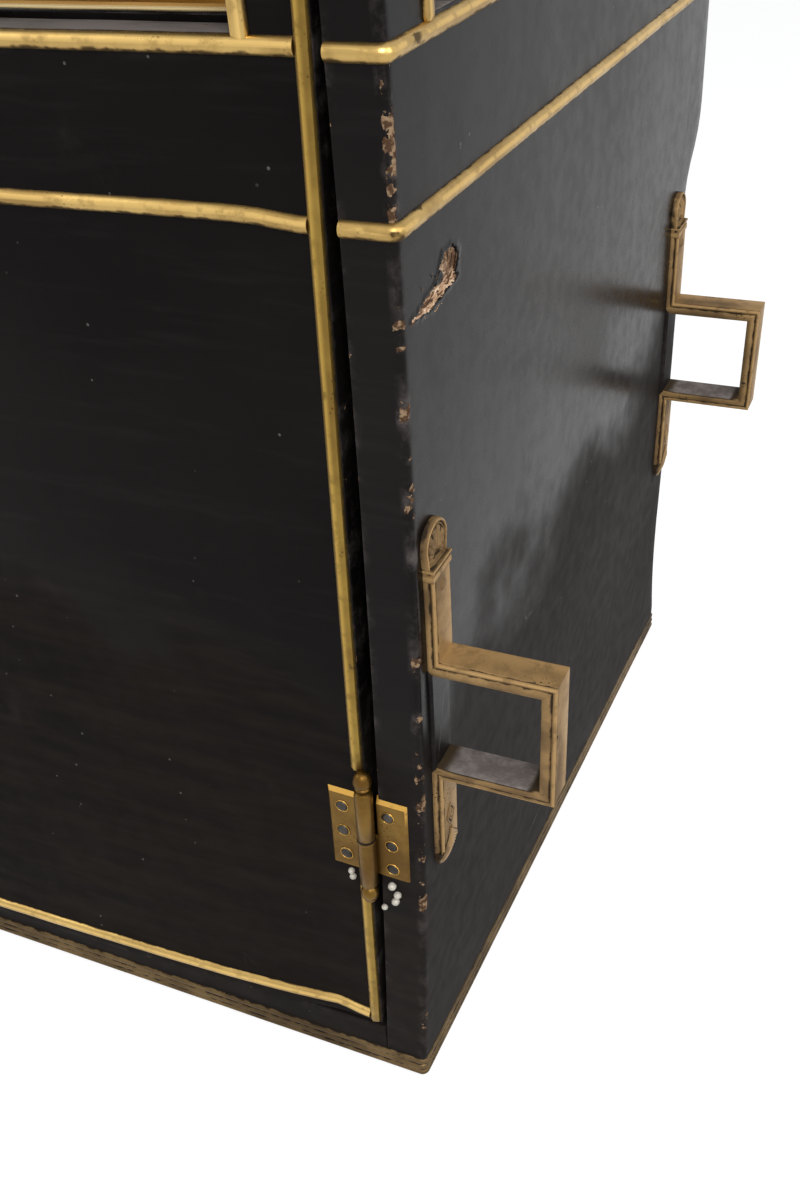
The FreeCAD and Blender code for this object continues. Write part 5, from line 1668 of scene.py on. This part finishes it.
def tear_filling():
    """Strips of the hide's torn brown core, bunched in the tear, with splinters that stand up from it."""
    random = Random(7)
    shape = Shape()
    near_end, far_end = -365.0, -288.0
    # The bed of the tear, just under the hide: pale in the middle, brown above, and dark with painted shade in the hole
    # between.
    near_side, far_side, low_side, high_side = TEAR
    rows = []
    for y in steps(near_side + 2, far_side - 2, 1.7):
        middle, half = tear_at(y)
        row, ages = [], []
        for z in steps(low_side + 1, high_side - 1, 1.7):
            above = z - middle - max(half, 0.0) * 0.45
            hole = near(above - 2.2 + ripple((y, 0, 0), 9, 2) * 1.2, 3.2) * smooth_step(y, -336, -326)
            pale = near(y + 315, 40)
            brown = 0.5 if above > 3 else 0.35 * (1 - pale)
            row.append((side_x(z) + 0.55 + 0.35 * ripple((y, z, 0), 3.2, 4) - 0.3 * hole, y, z))
            ages.append(max(brown, min(1.0, hole * 1.5)))
        rows.append(shape.row(row, ages))
    slab(shape, rows, Vector((-3, 0, 0)))

    # Fibres along it, and a few that stand across.
    for number in range(230):
        y = random.uniform(near_end + 2, far_end - 4)
        middle, half = tear_at(y)
        if half <= 0.6:
            continue
        z = middle - half * 0.35 + random.gauss(0, 0.5) * half
        long = random.uniform(5, 18)
        tilt = random.gauss(0.03, 0.16)
        start = Vector((side_x(z) - 0.6 + random.uniform(0.3, 2.2), y - long / 2, z - tilt * long / 2))
        step = Vector((random.uniform(-0.02, 0.03), 1, tilt)) * (long / 5)
        path = [start + step * part + Vector((0.5 * math.sin(part * 1.3), 0,
            0.4 * math.sin(part * 1.7 + number))) for part in range(6)]
        thick = random.uniform(0.25, 0.6)
        sizes = [0.3, 0.8, 1.0, 1.0, 0.7, 0.25]
        old = 0.0 if random.random() < 0.3 + 0.5 * near(y + 317, 26) else random.uniform(0.3, 0.7)
        strand = [(math.cos(turn) * thick, math.sin(turn) * thick * 1.8, old) for turn in turns(6)]
        shape.sweep(strand, path, [(1, 0, 0)] * 6, sizes)
    splinters = ((-347, 744, 758, 0.9), (-332, 748, 761, 0.9), (-325, 747, 757, 1.6), (-310, 750, 766, 2.6),
        (-304, 747, 768, 3.2))
    splinters += ((-298, 746, 765, 3.4), (-292, 745, 761, 3.0), (-287, 744, 755, 2.2), (-301, 746, 758, 2.6),
        (-295, 745, 754, 2.6))
    for y, low, high, thick in splinters:
        count = 7
        path, sizes = [], []
        for number in range(count):
            part = number / (count - 1)
            curl = 3.2 * part * part
            path.append((side_x(low) + 0.4 + curl * 0.8, y + 1.4 * math.sin(part * 4), low + (high - low) * part))
            sizes.append(max(0.12, 1 - part**2))
        flap = [(math.cos(turn) * 0.35, math.sin(turn) * thick, 0.55) for turn in turns(8)]
        shape.sweep(flap, path, [(1, 0, 0)] * count, sizes)
    piece("tear_fibres", shape, "cabin", TORN_HIDE, crease=60)


def beads():
    """Pale beads under the low hinge's leaves."""
    low, high = box_mm("door_hinge_leaf_low")
    leaf_to_pin = 11.4  # from the leaves' outer edge
    pin = high.x - leaf_to_pin
    white = Finish("bead_white", Specular_IOR_Level=0.6)
    cloudy = white.noise(300.0, 3.0)
    tint = white.mix(white.between(cloudy, 0.3, 0.7), (0.62, 0.58, 0.5), (0.42, 0.38, 0.32))
    white.done(tint, 0.3, white.bump(cloudy, 0.1))
    for leaf, body, places in (
        ("door", "door", ((-18.4, -5.1, 3.0), (-17.5, -11, 3.1))),
        ("post", "cabin", ((18.8, -9.5, 3.7), (23, -18.7, 3.4), (20.6, -27, 3.6), (9.5, -38, 2.8))),
    ):
        pearls = Shape()
        for x, z, radius in places:
            profile = [(radius * math.sin(turn), -radius * math.cos(turn)) for turn in steps(0, math.pi, math.pi / 8)]
            pearls.lathe(profile, (pin + x, FRONT - HIDE - radius * 0.6, low.z + z), (0, -1, 0), 14)
        piece(f"beads_{leaf}", pearls, body, white.material)


tear_filling()
beads()

# ---- what is left of the CAD

NODE_FINISHES = {
    "black_leather": BLACK_HIDE,
    "bright_brass": GOLD_BRASS,
    "aged_brass": AGED_BRASS,
    "bare_wood": OILED_WOOD,
    "dark_wood": BLACK_WOOD,
    "window_glass": WINDOW_GLASS,
    "ochre_cloth": OCHRE_CLOTH,
    "cushion_cloth": CUSHION_CLOTH,
}
for part in frame["record"]["subparts"]:
    node = frame["nodes"][part["node"]]
    node.data.materials.clear()
    node.data.materials.append(NODE_FINISHES[part["material_slot"]])

# ---- floor, light, camera

FLOOR_CORNERS = [(14 * x, 14 * y, 0) for x, y in ((-1, -1), (1, -1), (1, 1), (-1, 1))]
floor_mesh = bpy.data.meshes.new("floor")
floor_mesh.from_pydata(FLOOR_CORNERS, [], [(0, 1, 2, 3)])
floor = placed("floor", floor_mesh)
floor.location.z = -0.0015

paper = bpy.data.materials.new("paper")
paper.use_nodes = True
tree = paper.node_tree
tree.nodes.clear()


def math_node(tree, operation, one, two):
    made = tree.nodes.new("ShaderNodeMath")
    made.operation = operation
    for socket, value in zip(made.inputs, (one, two)):
        if isinstance(value, bpy.types.NodeSocket):
            tree.links.new(value, socket)
        else:
            socket.default_value = value
    return made.outputs["Value"]


def seen_rays(tree):
    """1 for rays from the camera, from metal and gloss, and through glass: they all see the same white. The
    light on the object doesn't see it."""
    path = tree.nodes.new("ShaderNodeLightPath").outputs
    mirrored = math_node(tree, "MAXIMUM", path["Is Glossy Ray"], path["Is Transmission Ray"])
    return math_node(tree, "MAXIMUM", path["Is Camera Ray"], mirrored)


# The floor is one pale sheet, lit by the lamps, so it keeps the object's shadow. The glow fills it up to white.
diffuse = tree.nodes.new("ShaderNodeBsdfDiffuse")
diffuse.inputs["Color"].default_value = (0.36, 0.36, 0.36, 1)
glow = tree.nodes.new("ShaderNodeEmission")
glow.inputs["Color"].default_value = (0.76, 0.76, 0.76, 1)
tree.links.new(seen_rays(tree), glow.inputs["Strength"])
both = tree.nodes.new("ShaderNodeAddShader")
output = tree.nodes.new("ShaderNodeOutputMaterial")
tree.links.new(diffuse.outputs["BSDF"], both.inputs[0])
tree.links.new(glow.outputs["Emission"], both.inputs[1])
tree.links.new(both.outputs["Shader"], output.inputs["Surface"])
floor_mesh.materials.append(paper)

world = bpy.data.worlds.new("studio")
bpy.context.scene.world = world
world.use_nodes = True
tree = world.node_tree
ground = tree.nodes["Background"]
ground.inputs["Color"].default_value = (0.96, 0.97, 1.0, 1)
ground.inputs["Strength"].default_value = 0.5
white = tree.nodes.new("ShaderNodeBackground")
white.inputs["Color"].default_value = (1, 1, 1, 1)
white.inputs["Strength"].default_value = 1.0
chooser = tree.nodes.new("ShaderNodeMixShader")
tree.links.new(seen_rays(tree), chooser.inputs["Fac"])
tree.links.new(ground.outputs["Background"], chooser.inputs[1])
tree.links.new(white.outputs["Background"], chooser.inputs[2])
tree.links.new(chooser.outputs["Shader"], tree.nodes["World Output"].inputs["Surface"])


def softbox(name, place, aim, size, power):
    light = bpy.data.lights.new(name, "AREA")
    light.shape = "RECTANGLE"
    light.size, light.size_y = size
    light.energy = power
    lamp = placed(name, light)
    lamp.location = place
    lamp.rotation_mode = "QUATERNION"
    lamp.rotation_quaternion = (Vector(aim) - Vector(place)).to_track_quat("-Z", "Y")


softbox("key", (2.0, -3.1, 3.5), (0, 0, 0.8), (2.2, 2.2), 130)
softbox("left", (-3.2, -1.6, 2.8), (0, 0, 0.7), (2.0, 2.0), 35)
softbox("fill", (3.6, -0.6, 2.6), (0.2, 0, 0.6), (2.0, 2.6), 45)

CAMERA_PLACE = Vector((0.68914, -1.06616, 1.06416))
CAMERA_YAW = math.radians(117.144)
CAMERA_PITCH = math.radians(34.205)
CAMERA_ROLL = math.radians(-4.798)
forward = Vector(
    (math.cos(CAMERA_YAW) * math.cos(CAMERA_PITCH), math.sin(CAMERA_YAW) * math.cos(CAMERA_PITCH),
    -math.sin(CAMERA_PITCH))
)
right = Vector((math.sin(CAMERA_YAW), -math.cos(CAMERA_YAW), 0))
above = right.cross(forward)
right, above = (
    right * math.cos(CAMERA_ROLL) + above * math.sin(CAMERA_ROLL),
    above * math.cos(CAMERA_ROLL) - right * math.sin(CAMERA_ROLL),
)
camera_data = bpy.data.cameras.new("camera")
camera_data.sensor_width = 36
camera_data.lens = 40.16
camera_data.clip_start = 0.05
camera = placed("camera", camera_data)
camera.matrix_world = Matrix(
    (
        (right.x, above.x, -forward.x, CAMERA_PLACE.x),
        (right.y, above.y, -forward.y, CAMERA_PLACE.y),
        (right.z, above.z, -forward.z, CAMERA_PLACE.z),
        (0, 0, 0, 1),
    )
)
bpy.context.scene.camera = camera
bpy.context.scene.view_settings.view_transform = "Standard"
